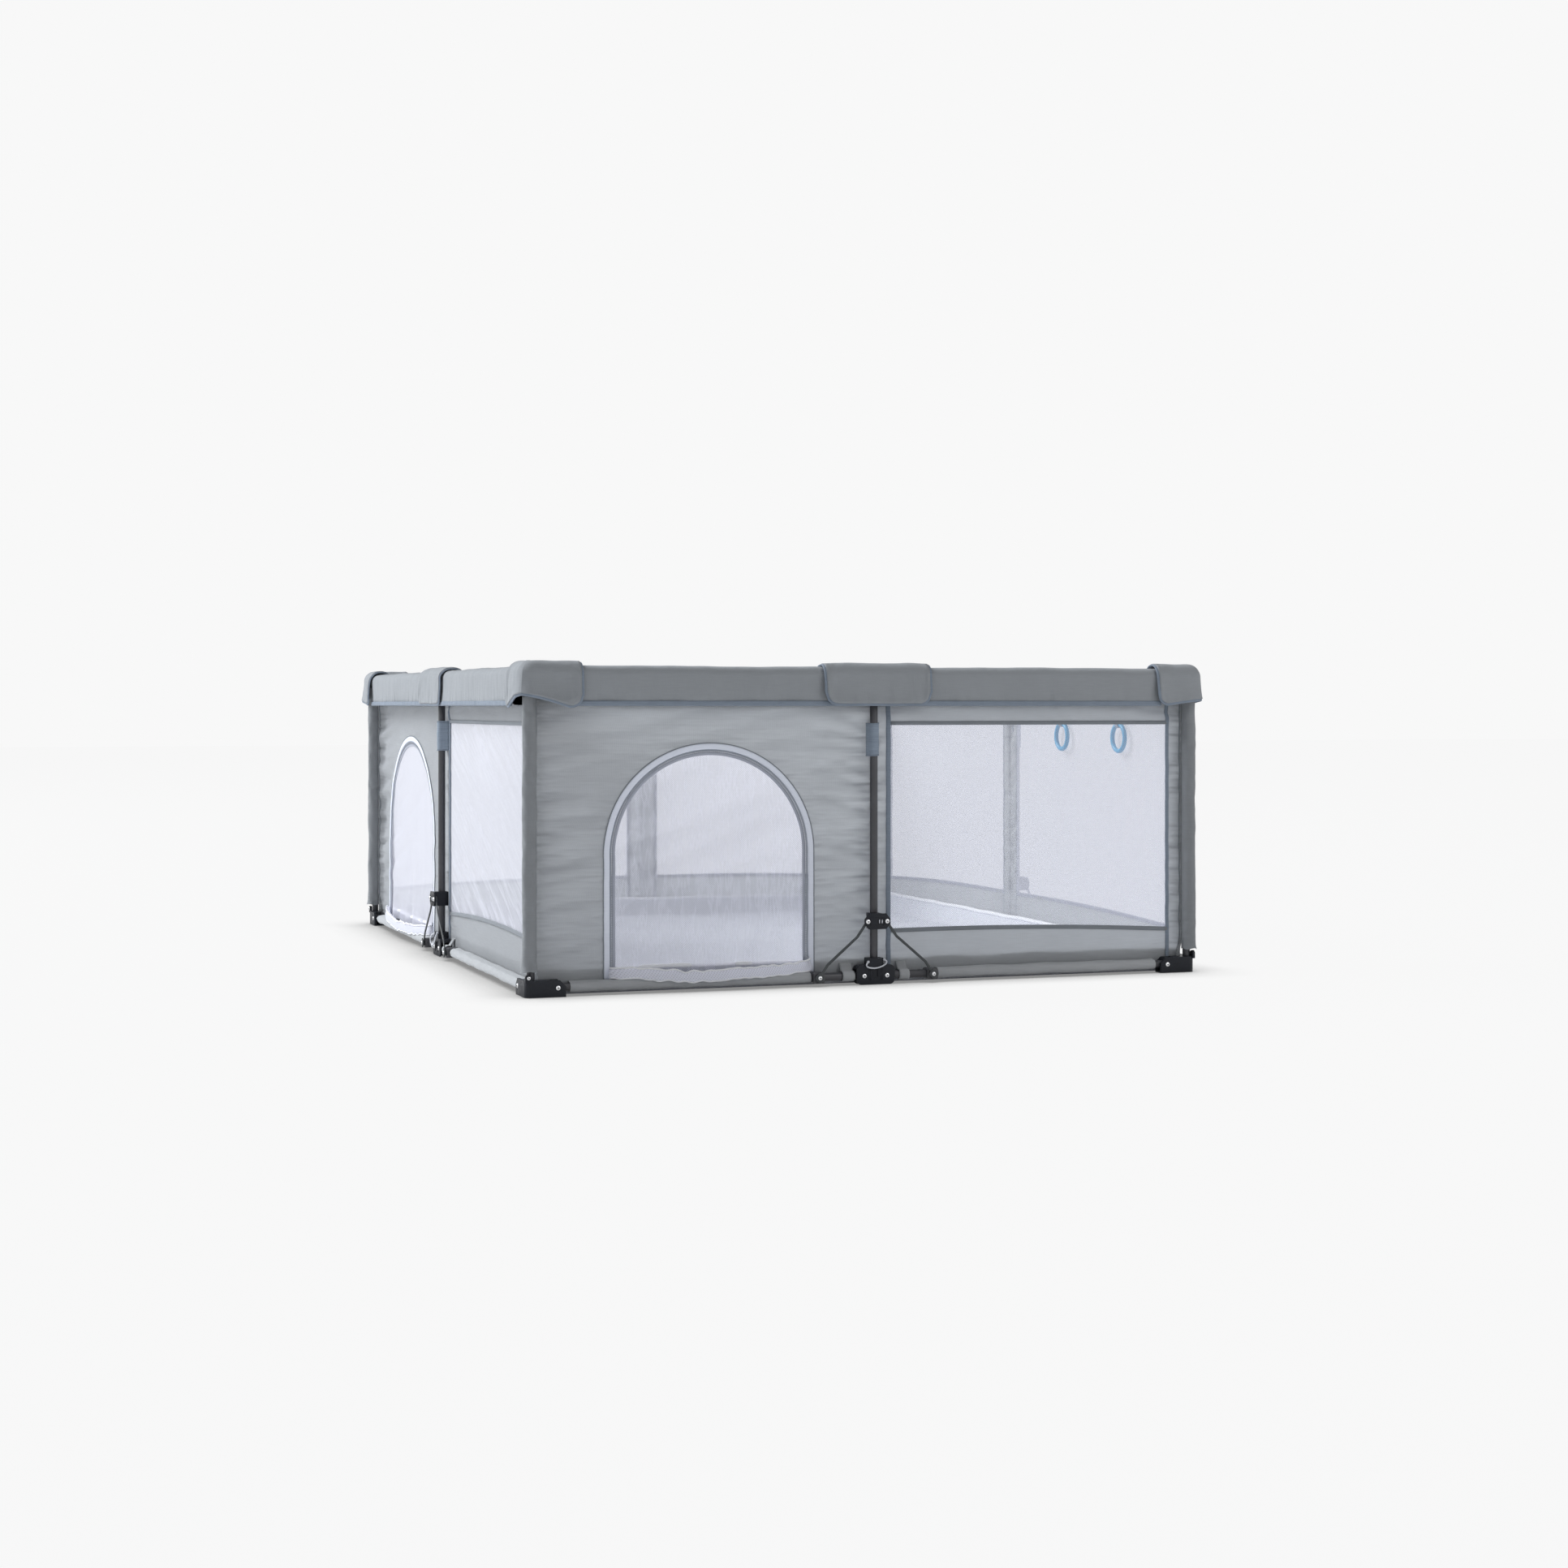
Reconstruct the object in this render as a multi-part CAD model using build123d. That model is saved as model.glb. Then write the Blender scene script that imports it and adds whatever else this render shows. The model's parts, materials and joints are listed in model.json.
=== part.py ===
from build123d import *

import os
from math import atan2, degrees

# Folding play pen, in millimetres: +Z up, X along the short sides, Y along the long ones, origin on the
# floor at the centre of the footprint. Four steel corner posts stand in plastic feet. Each side is two
# parallelograms of a corner post, a middle post, and a bottom and a top rail, so lifting the middle hub
# draws the corners together. Fabric walls, a padded top, caps and a floor mat dress the frame.

# ---- outer size ----
PEN_WIDTH = 1500.0
PEN_DEPTH = 1800.0
PEN_HEIGHT = 664.0
CAP_HALF = 28.0  # half the thickness of a corner cap

# ---- the frame's centre lines ----
POST_X = PEN_WIDTH / 2 - CAP_HALF
POST_Y = PEN_DEPTH / 2 - CAP_HALF
RAIL_LOW = 18.0
RAIL_TOP = 638.0
CORNER_PIVOT = 52.0  # from a corner post's axis to its rails' pivots
MID_PIVOT = 25.0  # from a middle post's axis to its rails' pivots

# ---- tubes and pins ----
TUBE_R = 8.0
TUBE_WALL = 1.2
CORNER_TAIL = 11.0  # a rail's length beyond its corner pivot
MID_TAIL = 10.0  # and beyond its middle pivot
PIN_R = 2.5
PIN_GAP = 0.05
HEAD_R = 5.0
HEAD_THICK = 2.0

# ---- plastic brackets; -Y is the outside of a side ----
OUTER_FACE = 14.0  # outer face of a corner bracket, from the post's plane
INNER_FACE = 12.0  # inner face of every bracket, and outer face of a hub
SLOT_HALF = 8.6
SOLE = 3.0
FOOT_ARM = 68.0
FOOT_HIGH = 33.0
TOP_ARM = 62.0
SOCKET_ARM = 37.0  # the solid part of an arm, around the post
ARM_SLOPE = 12.0
POST_INSET = 4.0  # a corner post ends this far below its bracket's top
LUG = (-7.0, 39.0, 7.0)  # x, z and radius of a foot's lug
HUB_HALF = 42.0
HUB_HIGH = 40.0
HUB_ROOF = 32.0
HUB_ROUND = 11.0
HUB_BLOCK = 11.5  # half the solid block between a hub's two slots
KEY_HALF = 4.0
KEY_Z = (16.0, 31.0)
KEY_DEEP = 1.5
MID_POST = (14.0, RAIL_TOP + 6.0)  # its two ends
NECK_HALF = 16.5
NECK_TOP = 54.0

# ---- slider and braces ----
SLIDER_Z = 130.0
SLIDER_HALF = 16.0
SLIDER_PIVOT = 21.0
SLIDER_GAP = 0.3
SLIDER_FRONT = 19.5
SLIDER_PLATE = 3.0
SLIDER_SLEEVE = 11.5
SLIDER_POINT = 28.0  # half the plate's width
SLIDER_FLAT = 19.0
SLIDER_TIP = 5.0
BRACE_REACH = 100.0  # from a hub's pivot to the brace's end along the rail
BRACE_BACK = 16.0
BRACE_FRONT = 19.0
BRACE_HALF = 2.7
BRACE_BOW = 5.0  # how far a brace steps aside near its two ends
EYE_R = 6.5
DIAMOND = 17.0
DIAMOND_THICK = 2.5
SADDLE_FRONT = 15.6
SADDLE_HALF = (12.0, 11.0)  # along the rail, and in height

# ---- fabric ----
WALL_OUT = 14.5  # the wall lies inside the posts' plane
WALL_IN = 17.0
WALL_LOW = 12.0
WALL_TOP = 574.5
NET_OUT = 15.25
NET_IN = 16.25
SEAM_GAP = 0.5
WINDOW_LOW = 107.0
WINDOW_TOP = 536.0
WINDOW_MID = 42.0  # from the middle post's axis to the window
WINDOW_CORNER = 39.0  # from the corner post's axis to the window
WINDOW_ROUND = 20.0
SLEEVE_R = 12.5
SLEEVE_SKIN = 2.5
SLEEVE_LOW = 52.0
WEB_HALF = 1.2
COVER_LOW = 575.0
COVER_TOP = 660.0
COVER_HALF = 22.0
COVER_ROUND = 16.0
COVER_CORNER = 74.0  # from the corner post's axis to the cover's end
COVER_MID = 55.0
CAP_ARM = 82.0
CAP_ARM_WIDE = 98.0  # the front arm of the front left cap
CAP_SKIN = 3.0
CAP_ROUND = 18.0
FLAP_HALF = 116.0
FLAP_OUT = 26.0
FLAP_IN = 23.5
FLAP_LOW = 573.0
FLAP_ROUND = 22.0
MAT_INSET = 18.0
MAT_LOW = 2.0
MAT_THICK = 5.0
MAT_RIM_TOP = 50.0
MAT_RIM = 3.0

# ---- doors and pull rings ----
DOOR_HINGE = 27.0
DOOR_TOP = 497.0
DOOR_GAP = 1.0
DOOR_OUT = 15.0
DOOR_IN = 16.5
HEM_R = 1.6
FRONT_DOOR = (348.0, 445.0, 222.0)  # centre from the middle post, width, height of the arch
LEFT_DOOR = (450.0, 590.0, 250.0)
RING_R = 30.0
RING_THICK = 5.0
RING_PLANE = 30.0
RING_PIVOT = 530.0
RING_EYE = (6.2, 16.0)  # radius and length
RINGS_FROM_CORNER = (259.0, 551.0)

# A side's own frame has x along the side, -y outwards and z up. Each entry is the turn about Z, half the
# side's length, the distance of its plane from the pen's centre, and the names of its -x and +x ends.
SIDES = {
    "front": (0, POST_X, POST_Y, ("left", "right")),
    "right": (90, POST_Y, POST_X, ("front", "back")),
    "back": (180, POST_X, POST_Y, ("right", "left")),
    "left": (270, POST_Y, POST_X, ("back", "front")),
}

# A corner's own frame has x and y along its two arms. Each entry is the turn, the post's place, and the
# lengths of the half sides along x and y.
CORNERS = {
    "front_left": (0, (-POST_X, -POST_Y), (POST_X, POST_Y)),
    "front_right": (90, (POST_X, -POST_Y), (POST_Y, POST_X)),
    "back_right": (180, (POST_X, POST_Y), (POST_X, POST_Y)),
    "back_left": (270, (-POST_X, POST_Y), (POST_Y, POST_X)),
}

SWAP_ARMS = Plane(origin=(0, 0, 0), z_dir=(1, -1, 0))


def group(*shapes):
    """Several solids kept apart in one node."""
    return Compound([solid for shape in shapes for solid in shape.solids()])


def block(x, y, z):
    """A box given by its low and high values along each axis."""
    size = [high - low for low, high in (x, y, z)]
    middle = [(low + high) / 2 for low, high in (x, y, z)]
    return Pos(*middle) * Box(*size)


def upright(outline, near, far):
    """An outline drawn in x and z, made solid from y = near to y = far."""
    return Pos(0, far, 0) * Rot(90, 0, 0) * extrude(outline, far - near)


def cross_pin(x, z, near, far, radius=PIN_R):
    """A round bar along y."""
    return Pos(x, (near + far) / 2, z) * Rot(90, 0, 0) * Cylinder(radius, far - near)


def screw(x, z, face, inner):
    """A pivot screw: its shank from the outer face to the inner one, and its head outside."""
    return cross_pin(x, z, -face, inner) + cross_pin(x, z, -face - HEAD_THICK, -face, HEAD_R)


def rect(x, z):
    """A rectangle in x and z given by its low and high values."""
    return Pos((x[0] + x[1]) / 2, (z[0] + z[1]) / 2) * Rectangle(x[1] - x[0], z[1] - z[0])


def post_tube(low, high):
    return Pos(0, 0, (low + high) / 2) * (
        Cylinder(TUBE_R, high - low) - Cylinder(TUBE_R - TUBE_WALL, high - low)
    )


# ---- corner posts and their brackets ----


def bracket_arm(low, high, reach):
    """One arm of a corner bracket: a channel open on top, solid around the post."""
    side = Polygon(
        (0, low), (reach, low), (reach, high - ARM_SLOPE), (reach - ARM_SLOPE, high), (0, high), align=None
    )
    arm = upright(side, -OUTER_FACE, INNER_FACE)
    return arm - block((SOCKET_ARM, reach + 1), (-SLOT_HALF, SLOT_HALF), (low + SOLE, high + 1))


def corner_bracket(low, high, reach, bore_low, bore_high, pivot):
    """Both arms about the post, with a round outer corner, and the two pivot screws."""
    arm = bracket_arm(low, high, reach)
    round_corner = Pos(0, 0, (low + high) / 2) * Cylinder(OUTER_FACE, high - low)
    square_end = block((-OUTER_FACE, 0), (-OUTER_FACE, 0), (low, high))
    body = arm + mirror(arm, about=SWAP_ARMS) - square_end + round_corner
    body -= Pos(0, 0, (bore_low + bore_high) / 2) * Cylinder(TUBE_R, bore_high - bore_low)
    pin = screw(CORNER_PIVOT, pivot, OUTER_FACE, INNER_FACE)
    pins = (pin, mirror(pin, about=SWAP_ARMS))
    for one in pins:
        body -= one
    return (body, *pins)


def foot():
    """The foot under a corner post, with a lug beside the post for its fixing screw."""
    body, *pins = corner_bracket(0, FOOT_HIGH, FOOT_ARM, SOLE, FOOT_HIGH, RAIL_LOW)
    lug_x, lug_z, lug_r = LUG
    back = -TUBE_R - 0.5
    lug = cross_pin(lug_x, lug_z, -OUTER_FACE, back, lug_r)
    lug += block((lug_x - lug_r, lug_x + lug_r), (-OUTER_FACE, back), (FOOT_HIGH - POST_INSET, lug_z))
    fixing = cross_pin(lug_x, lug_z, -OUTER_FACE - HEAD_THICK, -OUTER_FACE, HEAD_R - 1)
    return (body + lug, fixing, *pins)


def top_bracket():
    low = RAIL_TOP - RAIL_LOW - 1
    return corner_bracket(low, low + FOOT_HIGH, TOP_ARM, low, post_end(), RAIL_TOP)


def post_end():
    return RAIL_TOP - RAIL_LOW + FOOT_HIGH - POST_INSET


def corner_brackets():
    return group(*foot(), *top_bracket())


def corner_post():
    return post_tube(SOLE, post_end())


# ---- middle posts and their hubs ----


def hub(lift, neck):
    """A hub seen from outside is a rounded plate. Its slots are open at the ends and at the bottom."""
    plate = Pos(0, lift + HUB_HIGH / 2) * RectangleRounded(2 * HUB_HALF, HUB_HIGH, HUB_ROUND)
    if neck:
        plate += rect((-NECK_HALF, NECK_HALF), (lift + HUB_HIGH / 2, lift + NECK_TOP))
    body = upright(plate, -INNER_FACE, INNER_FACE)
    for side in (-1, 1):
        ends = sorted((side * HUB_BLOCK, side * (HUB_HALF + 1)))
        body -= block(ends, (-SLOT_HALF, SLOT_HALF), (lift - 1, lift + HUB_ROOF))
    return body


def hub_screws(lift):
    return [screw(side * MID_PIVOT, lift + RAIL_LOW, INNER_FACE, INNER_FACE) for side in (-1, 1)]


def mid_hubs():
    """The lower hub with its neck and key slot, and the upper hub under the flap."""
    lift = RAIL_TOP - RAIL_LOW
    low_end, top_end = MID_POST
    post = Pos(0, 0, (low_end + top_end) / 2) * Cylinder(TUBE_R, top_end - low_end)
    key = block((-KEY_HALF, KEY_HALF), (-INNER_FACE, KEY_DEEP - INNER_FACE), KEY_Z)
    low, top = hub(0, True) - key - post, hub(lift, False) - post
    low_screws, top_screws = hub_screws(0), hub_screws(lift)
    for one in low_screws:
        low -= one
    for one in top_screws:
        top -= one
    return group(low, top, *low_screws, *top_screws)


def mid_post():
    """It stands in the lower hub and ends inside the upper one."""
    return post_tube(*MID_POST)


# ---- slider and braces ----


def slider():
    """A sleeve on the middle post with a six-sided plate in front and a pivot screw at each end."""
    point, flat = SLIDER_POINT, SLIDER_FLAT
    low, high = SLIDER_Z - SLIDER_HALF, SLIDER_Z + SLIDER_HALF
    tip_low, tip_high = SLIDER_Z - SLIDER_TIP, SLIDER_Z + SLIDER_TIP
    outline = Polygon(
        (-point, tip_low), (-flat, low), (flat, low), (point, tip_low),
        (point, tip_high), (flat, high), (-flat, high), (-point, tip_high),
        align=None,
    )
    front = -SLIDER_FRONT - SLIDER_PLATE
    plate = upright(outline, front, -SLIDER_FRONT)
    sleeve = block((-SLIDER_SLEEVE, SLIDER_SLEEVE), (-SLIDER_FRONT, INNER_FACE + 1), (low, high))
    body = plate + sleeve - Pos(0, 0, SLIDER_Z) * Cylinder(TUBE_R + SLIDER_GAP, 2 * SLIDER_HALF + 2)
    pins = []
    for side in (-1, 1):
        back = 0.4 - BRACE_BACK
        pin = screw(side * SLIDER_PIVOT, SLIDER_Z, -front, back)
        pin += cross_pin(side * SLIDER_PIVOT, SLIDER_Z, back, back + 1.4, HEAD_R)
        pins.append(pin)
        body -= pin
    return group(body, *pins)


def brace():
    """A flat bent bar from the slider down to the rail, ending in a diamond plate with a screw."""
    top = Vector(SLIDER_PIVOT, SLIDER_Z)
    low = Vector(MID_PIVOT + BRACE_REACH, RAIL_LOW)
    along = (low - top).normalized()
    aside = Vector(along.Y, -along.X)
    length = (low - top).length
    first = top + along * (0.25 * length) + aside * BRACE_BOW
    second = top + along * (0.8 * length) - aside * BRACE_BOW
    line = [top, first, second, low]
    outline = Pos(top.X, top.Y) * Circle(EYE_R) + Pos(low.X, low.Y) * Circle(EYE_R)
    for a, b in zip(line, line[1:]):
        outline += stroke(a, b, BRACE_HALF)
    bar = upright(outline, -BRACE_FRONT, -BRACE_BACK)
    bar -= cross_pin(top.X, top.Y, -BRACE_FRONT - 1, -BRACE_BACK + 1, PIN_R + PIN_GAP)
    diamond = Pos(low.X, low.Y) * Rot(0, 0, 45) * RectangleRounded(DIAMOND, DIAMOND, 3)
    face = -BRACE_FRONT - DIAMOND_THICK
    end = upright(diamond, face, -BRACE_FRONT)
    head = cross_pin(low.X, low.Y, face - HEAD_THICK, face, HEAD_R - 0.5)
    return group(bar + end, head)


def stroke(a, b, half):
    """A straight stretch of bar with round ends."""
    middle, run = (a + b) * 0.5, b - a
    turn = degrees(atan2(run.Y, run.X))
    return Pos(middle.X, middle.Y) * Rot(0, 0, turn) * SlotOverall(run.length + 2 * half, 2 * half)


# ---- rails ----


def rail(half_span, z):
    """A rail from its middle pivot to its corner pivot, drilled for both screws."""
    low, high = MID_PIVOT - MID_TAIL, half_span - CORNER_PIVOT + CORNER_TAIL
    tube = Cylinder(TUBE_R, high - low) - Cylinder(TUBE_R - TUBE_WALL, high - low)
    body = Pos((low + high) / 2, 0, z) * Rot(0, 90, 0) * tube
    for x in (MID_PIVOT, half_span - CORNER_PIVOT):
        body -= cross_pin(x, z, -TUBE_R - 1, TUBE_R + 1, PIN_R + PIN_GAP)
    return body


def bottom_rail(half_span):
    """The rail with the saddle that the brace's end bears on."""
    at = MID_PIVOT + BRACE_REACH
    half, tall = SADDLE_HALF
    saddle = block((at - half, at + half), (-SADDLE_FRONT, TUBE_R + 2), (RAIL_LOW - tall, RAIL_LOW + tall))
    saddle = fillet(saddle.edges().filter_by(Axis.Y), 5)
    saddle -= Pos(at, 0, RAIL_LOW) * Rot(0, 90, 0) * Cylinder(TUBE_R, 2 * half + 2)
    return group(rail(half_span, RAIL_LOW), saddle)


# ---- fabric ----


def arch(door, grow=0.0):
    """A door's outline: straight legs with a half ellipse on top."""
    centre, width, crown = door
    half, crown = width / 2 + grow, crown + grow
    low, spring = DOOR_HINGE - 2 * grow, DOOR_TOP + grow - crown
    top = Pos(centre, spring) * Ellipse(half, crown)
    top &= rect((centre - half - 1, centre + half + 1), (spring, spring + crown + 1))
    return top + rect((centre - half, centre + half), (low, spring))


def wall(half_span, door):
    """Half a side's wall, from the middle seam to the corner, with a door or a net window."""
    sheet = rect((SEAM_GAP, half_span - WALL_OUT), (WALL_LOW, WALL_TOP))
    if door:
        return upright(sheet - arch(door, DOOR_GAP), WALL_OUT, WALL_IN)
    body = upright(sheet, WALL_OUT, WALL_IN)
    wide = half_span - WINDOW_CORNER - WINDOW_MID
    window = Pos(WINDOW_MID + wide / 2, (WINDOW_LOW + WINDOW_TOP) / 2) * RectangleRounded(
        wide, WINDOW_TOP - WINDOW_LOW, WINDOW_ROUND
    )
    body -= upright(window, WALL_OUT - 1, NET_OUT)
    return body - upright(window, NET_IN, WALL_IN + 1)


def wall_fabric(spans, doors):
    """The two half walls that meet at a corner, and the sleeve that wraps the post."""
    along_x = Pos(spans[0], 0, 0) * mirror(wall(spans[0], doors[0]), about=Plane.YZ)
    along_y = Pos(spans[1], 0, 0) * mirror(wall(spans[1], doors[1]), about=Plane.YZ)
    high = WALL_TOP - SLEEVE_LOW
    ring = Cylinder(SLEEVE_R, high) - Cylinder(SLEEVE_R - SLEEVE_SKIN, high)
    sleeve = Pos(0, 0, SLEEVE_LOW + high / 2) * ring
    reach = (SLEEVE_R - 1, WALL_OUT * 2**0.5 + 1)
    web = Rot(0, 0, 45) * block(reach, (-WEB_HALF, WEB_HALF), (SLEEVE_LOW, WALL_TOP))
    return along_x + mirror(along_y, about=SWAP_ARMS) + sleeve + web


def cover(half_span):
    """The padded sleeve on half a top rail."""
    x = (COVER_CORNER, half_span - COVER_MID)
    body = block(x, (-COVER_HALF, COVER_HALF), (COVER_LOW, COVER_TOP))
    body = fillet(body.edges().filter_by(Axis.X).group_by(Axis.Z)[-1], COVER_ROUND)
    bore = Cylinder(TUBE_R + 0.5, x[1] - x[0] + 2)
    return body - Pos((x[0] + x[1]) / 2, 0, RAIL_TOP) * Rot(0, 90, 0) * bore


def cap(arms):
    """The shell over a corner's top bracket, with a round outer corner."""
    out, skin = CAP_HALF, CAP_SKIN
    body = block((-out, arms[0]), (-out, out), (COVER_LOW, PEN_HEIGHT))
    body += block((-out, out), (-out, arms[1]), (COVER_LOW, PEN_HEIGHT))
    corner = body.edges().filter_by(Axis.Z).sort_by(lambda e: e.center().X + e.center().Y)[0]
    body = fillet(corner, CAP_ROUND)
    hollow = block((skin - out, arms[0] + 1), (skin - out, out - skin), (COVER_LOW - 1, PEN_HEIGHT - skin))
    hollow += block((skin - out, out - skin), (skin - out, arms[1] + 1), (COVER_LOW - 1, PEN_HEIGHT - skin))
    inner = hollow.edges().filter_by(Axis.Z).sort_by(lambda e: e.center().X + e.center().Y)[0]
    return body - fillet(inner, CAP_ROUND - skin)


def top_cover(spans, arms):
    return group(cover(spans[0]), mirror(cover(spans[1]), about=SWAP_ARMS), cap(arms))


def mid_flap():
    """The flap that folds over the two covers' ends above a middle post."""
    high = PEN_HEIGHT - FLAP_LOW
    side = Pos(0, FLAP_LOW + high) * RectangleRounded(2 * FLAP_HALF, 2 * high, FLAP_ROUND)
    side &= rect((-FLAP_HALF, FLAP_HALF), (FLAP_LOW, PEN_HEIGHT))
    body = upright(side, -FLAP_OUT, FLAP_OUT)
    inside = block(
        (-FLAP_HALF - 1, FLAP_HALF + 1), (-FLAP_IN, FLAP_IN), (FLAP_LOW - 1, PEN_HEIGHT - FLAP_OUT + FLAP_IN)
    )
    return body - inside


def floor_mat():
    """The sewn-in floor, with its edge turned up along the walls."""
    x, y = POST_X - MAT_INSET, POST_Y - MAT_INSET
    tray = block((-x, x), (-y, y), (MAT_LOW, MAT_RIM_TOP))
    inside = (MAT_LOW + MAT_THICK, MAT_RIM_TOP + 1)
    return tray - block((MAT_RIM - x, x - MAT_RIM), (MAT_RIM - y, y - MAT_RIM), inside)


def door_panel(door):
    """A net panel that hinges on its rolled lower hem."""
    centre, width, _ = door
    panel = upright(arch(door), DOOR_OUT, DOOR_IN)
    hem = Pos(centre, (DOOR_OUT + DOOR_IN) / 2, DOOR_HINGE) * Rot(0, 90, 0) * Cylinder(HEM_R, width - 2)
    return panel + hem


def pull_rings():
    """Two rings that hang inside the right side, each with a moulded eye at its top."""
    rings = []
    for from_corner in RINGS_FROM_CORNER:
        ring = Rot(90, 0, 0) * Torus(RING_R, RING_THICK)
        eye = Pos(0, 0, RING_R) * Rot(0, 90, 0) * Cylinder(*RING_EYE)
        rings.append(Pos(from_corner - POST_Y, RING_PLANE, RING_PIVOT - RING_R) * (ring + eye))
    return group(*rings)


# ---- places, and the files ----


def side_place(side):
    turn, _, plane, _ = SIDES[side]
    return Rot(0, 0, turn) * Pos(0, -plane, 0)


def corner_place(corner):
    turn, (x, y), _ = CORNERS[corner]
    return Pos(x, y, 0) * Rot(0, 0, turn)


def save(shape, name):
    export_step(shape, f"parts/{name}.step")


def save_corner(corner):
    """Every piece that belongs to one corner."""
    _, _, spans = CORNERS[corner]
    doors = {"front_left": (FRONT_DOOR, None), "back_left": (LEFT_DOOR, None)}.get(corner, (None, None))
    arms = (CAP_ARM_WIDE if corner == "front_left" else CAP_ARM, CAP_ARM)
    place = corner_place(corner)
    save(place * corner_post(), f"corner_post_{corner}")
    save(place * corner_brackets(), f"corner_brackets_{corner}")
    save(place * wall_fabric(spans, doors), f"wall_fabric_{corner}")
    save(place * top_cover(spans, arms), f"top_cover_{corner}")


def save_side(side):
    """Every piece that belongs to one side, apart from its corners."""
    _, half_span, _, ends = SIDES[side]
    place = side_place(side)
    save(place * mid_post(), f"mid_post_{side}")
    save(place * mid_hubs(), f"mid_hubs_{side}")
    save(place * slider(), f"slider_{side}")
    save(place * mid_flap(), f"mid_flap_{side}")
    for end in ends:
        pieces = {
            "bottom_rail": bottom_rail(half_span),
            "top_rail": rail(half_span, RAIL_TOP),
            "brace": brace(),
        }
        for kind, piece in pieces.items():
            half = mirror(piece, about=Plane.YZ) if end == ends[0] else piece
            save(place * half, f"{kind}_{side}_{end}")


def main():
    os.makedirs("parts", exist_ok=True)
    for corner in CORNERS:
        save_corner(corner)
    for side in SIDES:
        save_side(side)
    front_door = mirror(door_panel(FRONT_DOOR), about=Plane.YZ)
    left_door = mirror(door_panel(LEFT_DOOR), about=Plane.YZ)
    save(side_place("front") * front_door, "door_front")
    save(side_place("left") * left_door, "door_left")
    save(floor_mat(), "floor_mat")
    save(side_place("right") * pull_rings(), "pull_rings")


main()
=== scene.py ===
# %% [markdown]
# A folding play pen for a baby: a steel frame that folds like a fence, padded covers on its top rails,
# cloth walls with net windows, two zip doors and a sewn-in floor mat. The steel, the plastic and the
# pivots come from the construction model, and everything soft is made here round them.
# Such cloth could be simulated, which is the usual way for padding and was not tried here. It is held
# tight on tubes and seams, so its form is known, and its surface is worked out point by point.
# Everything is in metres, in the frame's own axes: X along the short sides, Y along the long ones, Z up.

# %% Load the frame
import json
from math import atan2, cos, exp, hypot, pi, radians, sin, sqrt

import bmesh
import bpy
from mathutils import Matrix, Vector, noise

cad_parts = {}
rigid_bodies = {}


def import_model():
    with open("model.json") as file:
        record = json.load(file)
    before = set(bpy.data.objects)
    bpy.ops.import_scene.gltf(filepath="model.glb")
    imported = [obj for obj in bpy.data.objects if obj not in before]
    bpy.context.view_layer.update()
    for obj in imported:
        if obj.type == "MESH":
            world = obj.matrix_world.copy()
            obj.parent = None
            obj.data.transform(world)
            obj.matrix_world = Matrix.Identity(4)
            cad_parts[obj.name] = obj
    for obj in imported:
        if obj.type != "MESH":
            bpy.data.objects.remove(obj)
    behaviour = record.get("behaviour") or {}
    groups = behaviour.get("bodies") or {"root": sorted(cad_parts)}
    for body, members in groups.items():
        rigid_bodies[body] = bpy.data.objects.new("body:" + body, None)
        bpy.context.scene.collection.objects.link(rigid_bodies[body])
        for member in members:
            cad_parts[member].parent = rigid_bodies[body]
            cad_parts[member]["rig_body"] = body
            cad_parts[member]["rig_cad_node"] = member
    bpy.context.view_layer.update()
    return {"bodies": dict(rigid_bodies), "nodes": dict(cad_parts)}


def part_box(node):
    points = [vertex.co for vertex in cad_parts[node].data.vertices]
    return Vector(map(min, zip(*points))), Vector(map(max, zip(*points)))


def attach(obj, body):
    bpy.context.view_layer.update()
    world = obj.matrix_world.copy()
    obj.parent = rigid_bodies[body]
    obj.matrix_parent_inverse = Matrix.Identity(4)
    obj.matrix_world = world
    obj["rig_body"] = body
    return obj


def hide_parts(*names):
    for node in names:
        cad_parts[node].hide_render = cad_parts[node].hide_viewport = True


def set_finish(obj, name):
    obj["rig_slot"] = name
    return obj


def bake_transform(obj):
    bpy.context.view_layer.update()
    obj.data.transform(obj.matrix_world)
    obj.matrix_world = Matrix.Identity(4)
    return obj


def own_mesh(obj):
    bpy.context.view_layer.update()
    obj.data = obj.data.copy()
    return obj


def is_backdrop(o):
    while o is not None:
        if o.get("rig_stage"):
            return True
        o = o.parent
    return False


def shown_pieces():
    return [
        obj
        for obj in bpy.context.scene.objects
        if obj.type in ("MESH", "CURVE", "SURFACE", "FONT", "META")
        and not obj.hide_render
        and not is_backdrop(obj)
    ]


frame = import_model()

# %% [markdown]
# The pen's sides and corners are alike, so each is described once, in a frame of its own. A side's x
# runs along it from its middle, -y points outwards and z is up. A corner's frame turns with it.
# The places of the posts and rails could be typed in as numbers. They are read from the nodes of the
# construction model instead, so that a change of the pen's size needs few changes here.

# %% Places taken from the nodes


def node_centre(name):
    low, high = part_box(name)
    return (low + high) / 2


POST_X = abs(node_centre("corner_post_front_right").x)
POST_Y = abs(node_centre("corner_post_front_right").y)
RAIL_TOP = node_centre("top_rail_front_left").z
RAIL_LOW = 0.018
# turn in degrees, half its length, distance of its posts from the pen's middle, and its ends at -x and +x
SIDES = {
    "front": (0, POST_X, POST_Y, ("left", "right")),
    "right": (90, POST_Y, POST_X, ("front", "back")),
    "back": (180, POST_X, POST_Y, ("right", "left")),
    "left": (270, POST_Y, POST_X, ("back", "front")),
}
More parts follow.
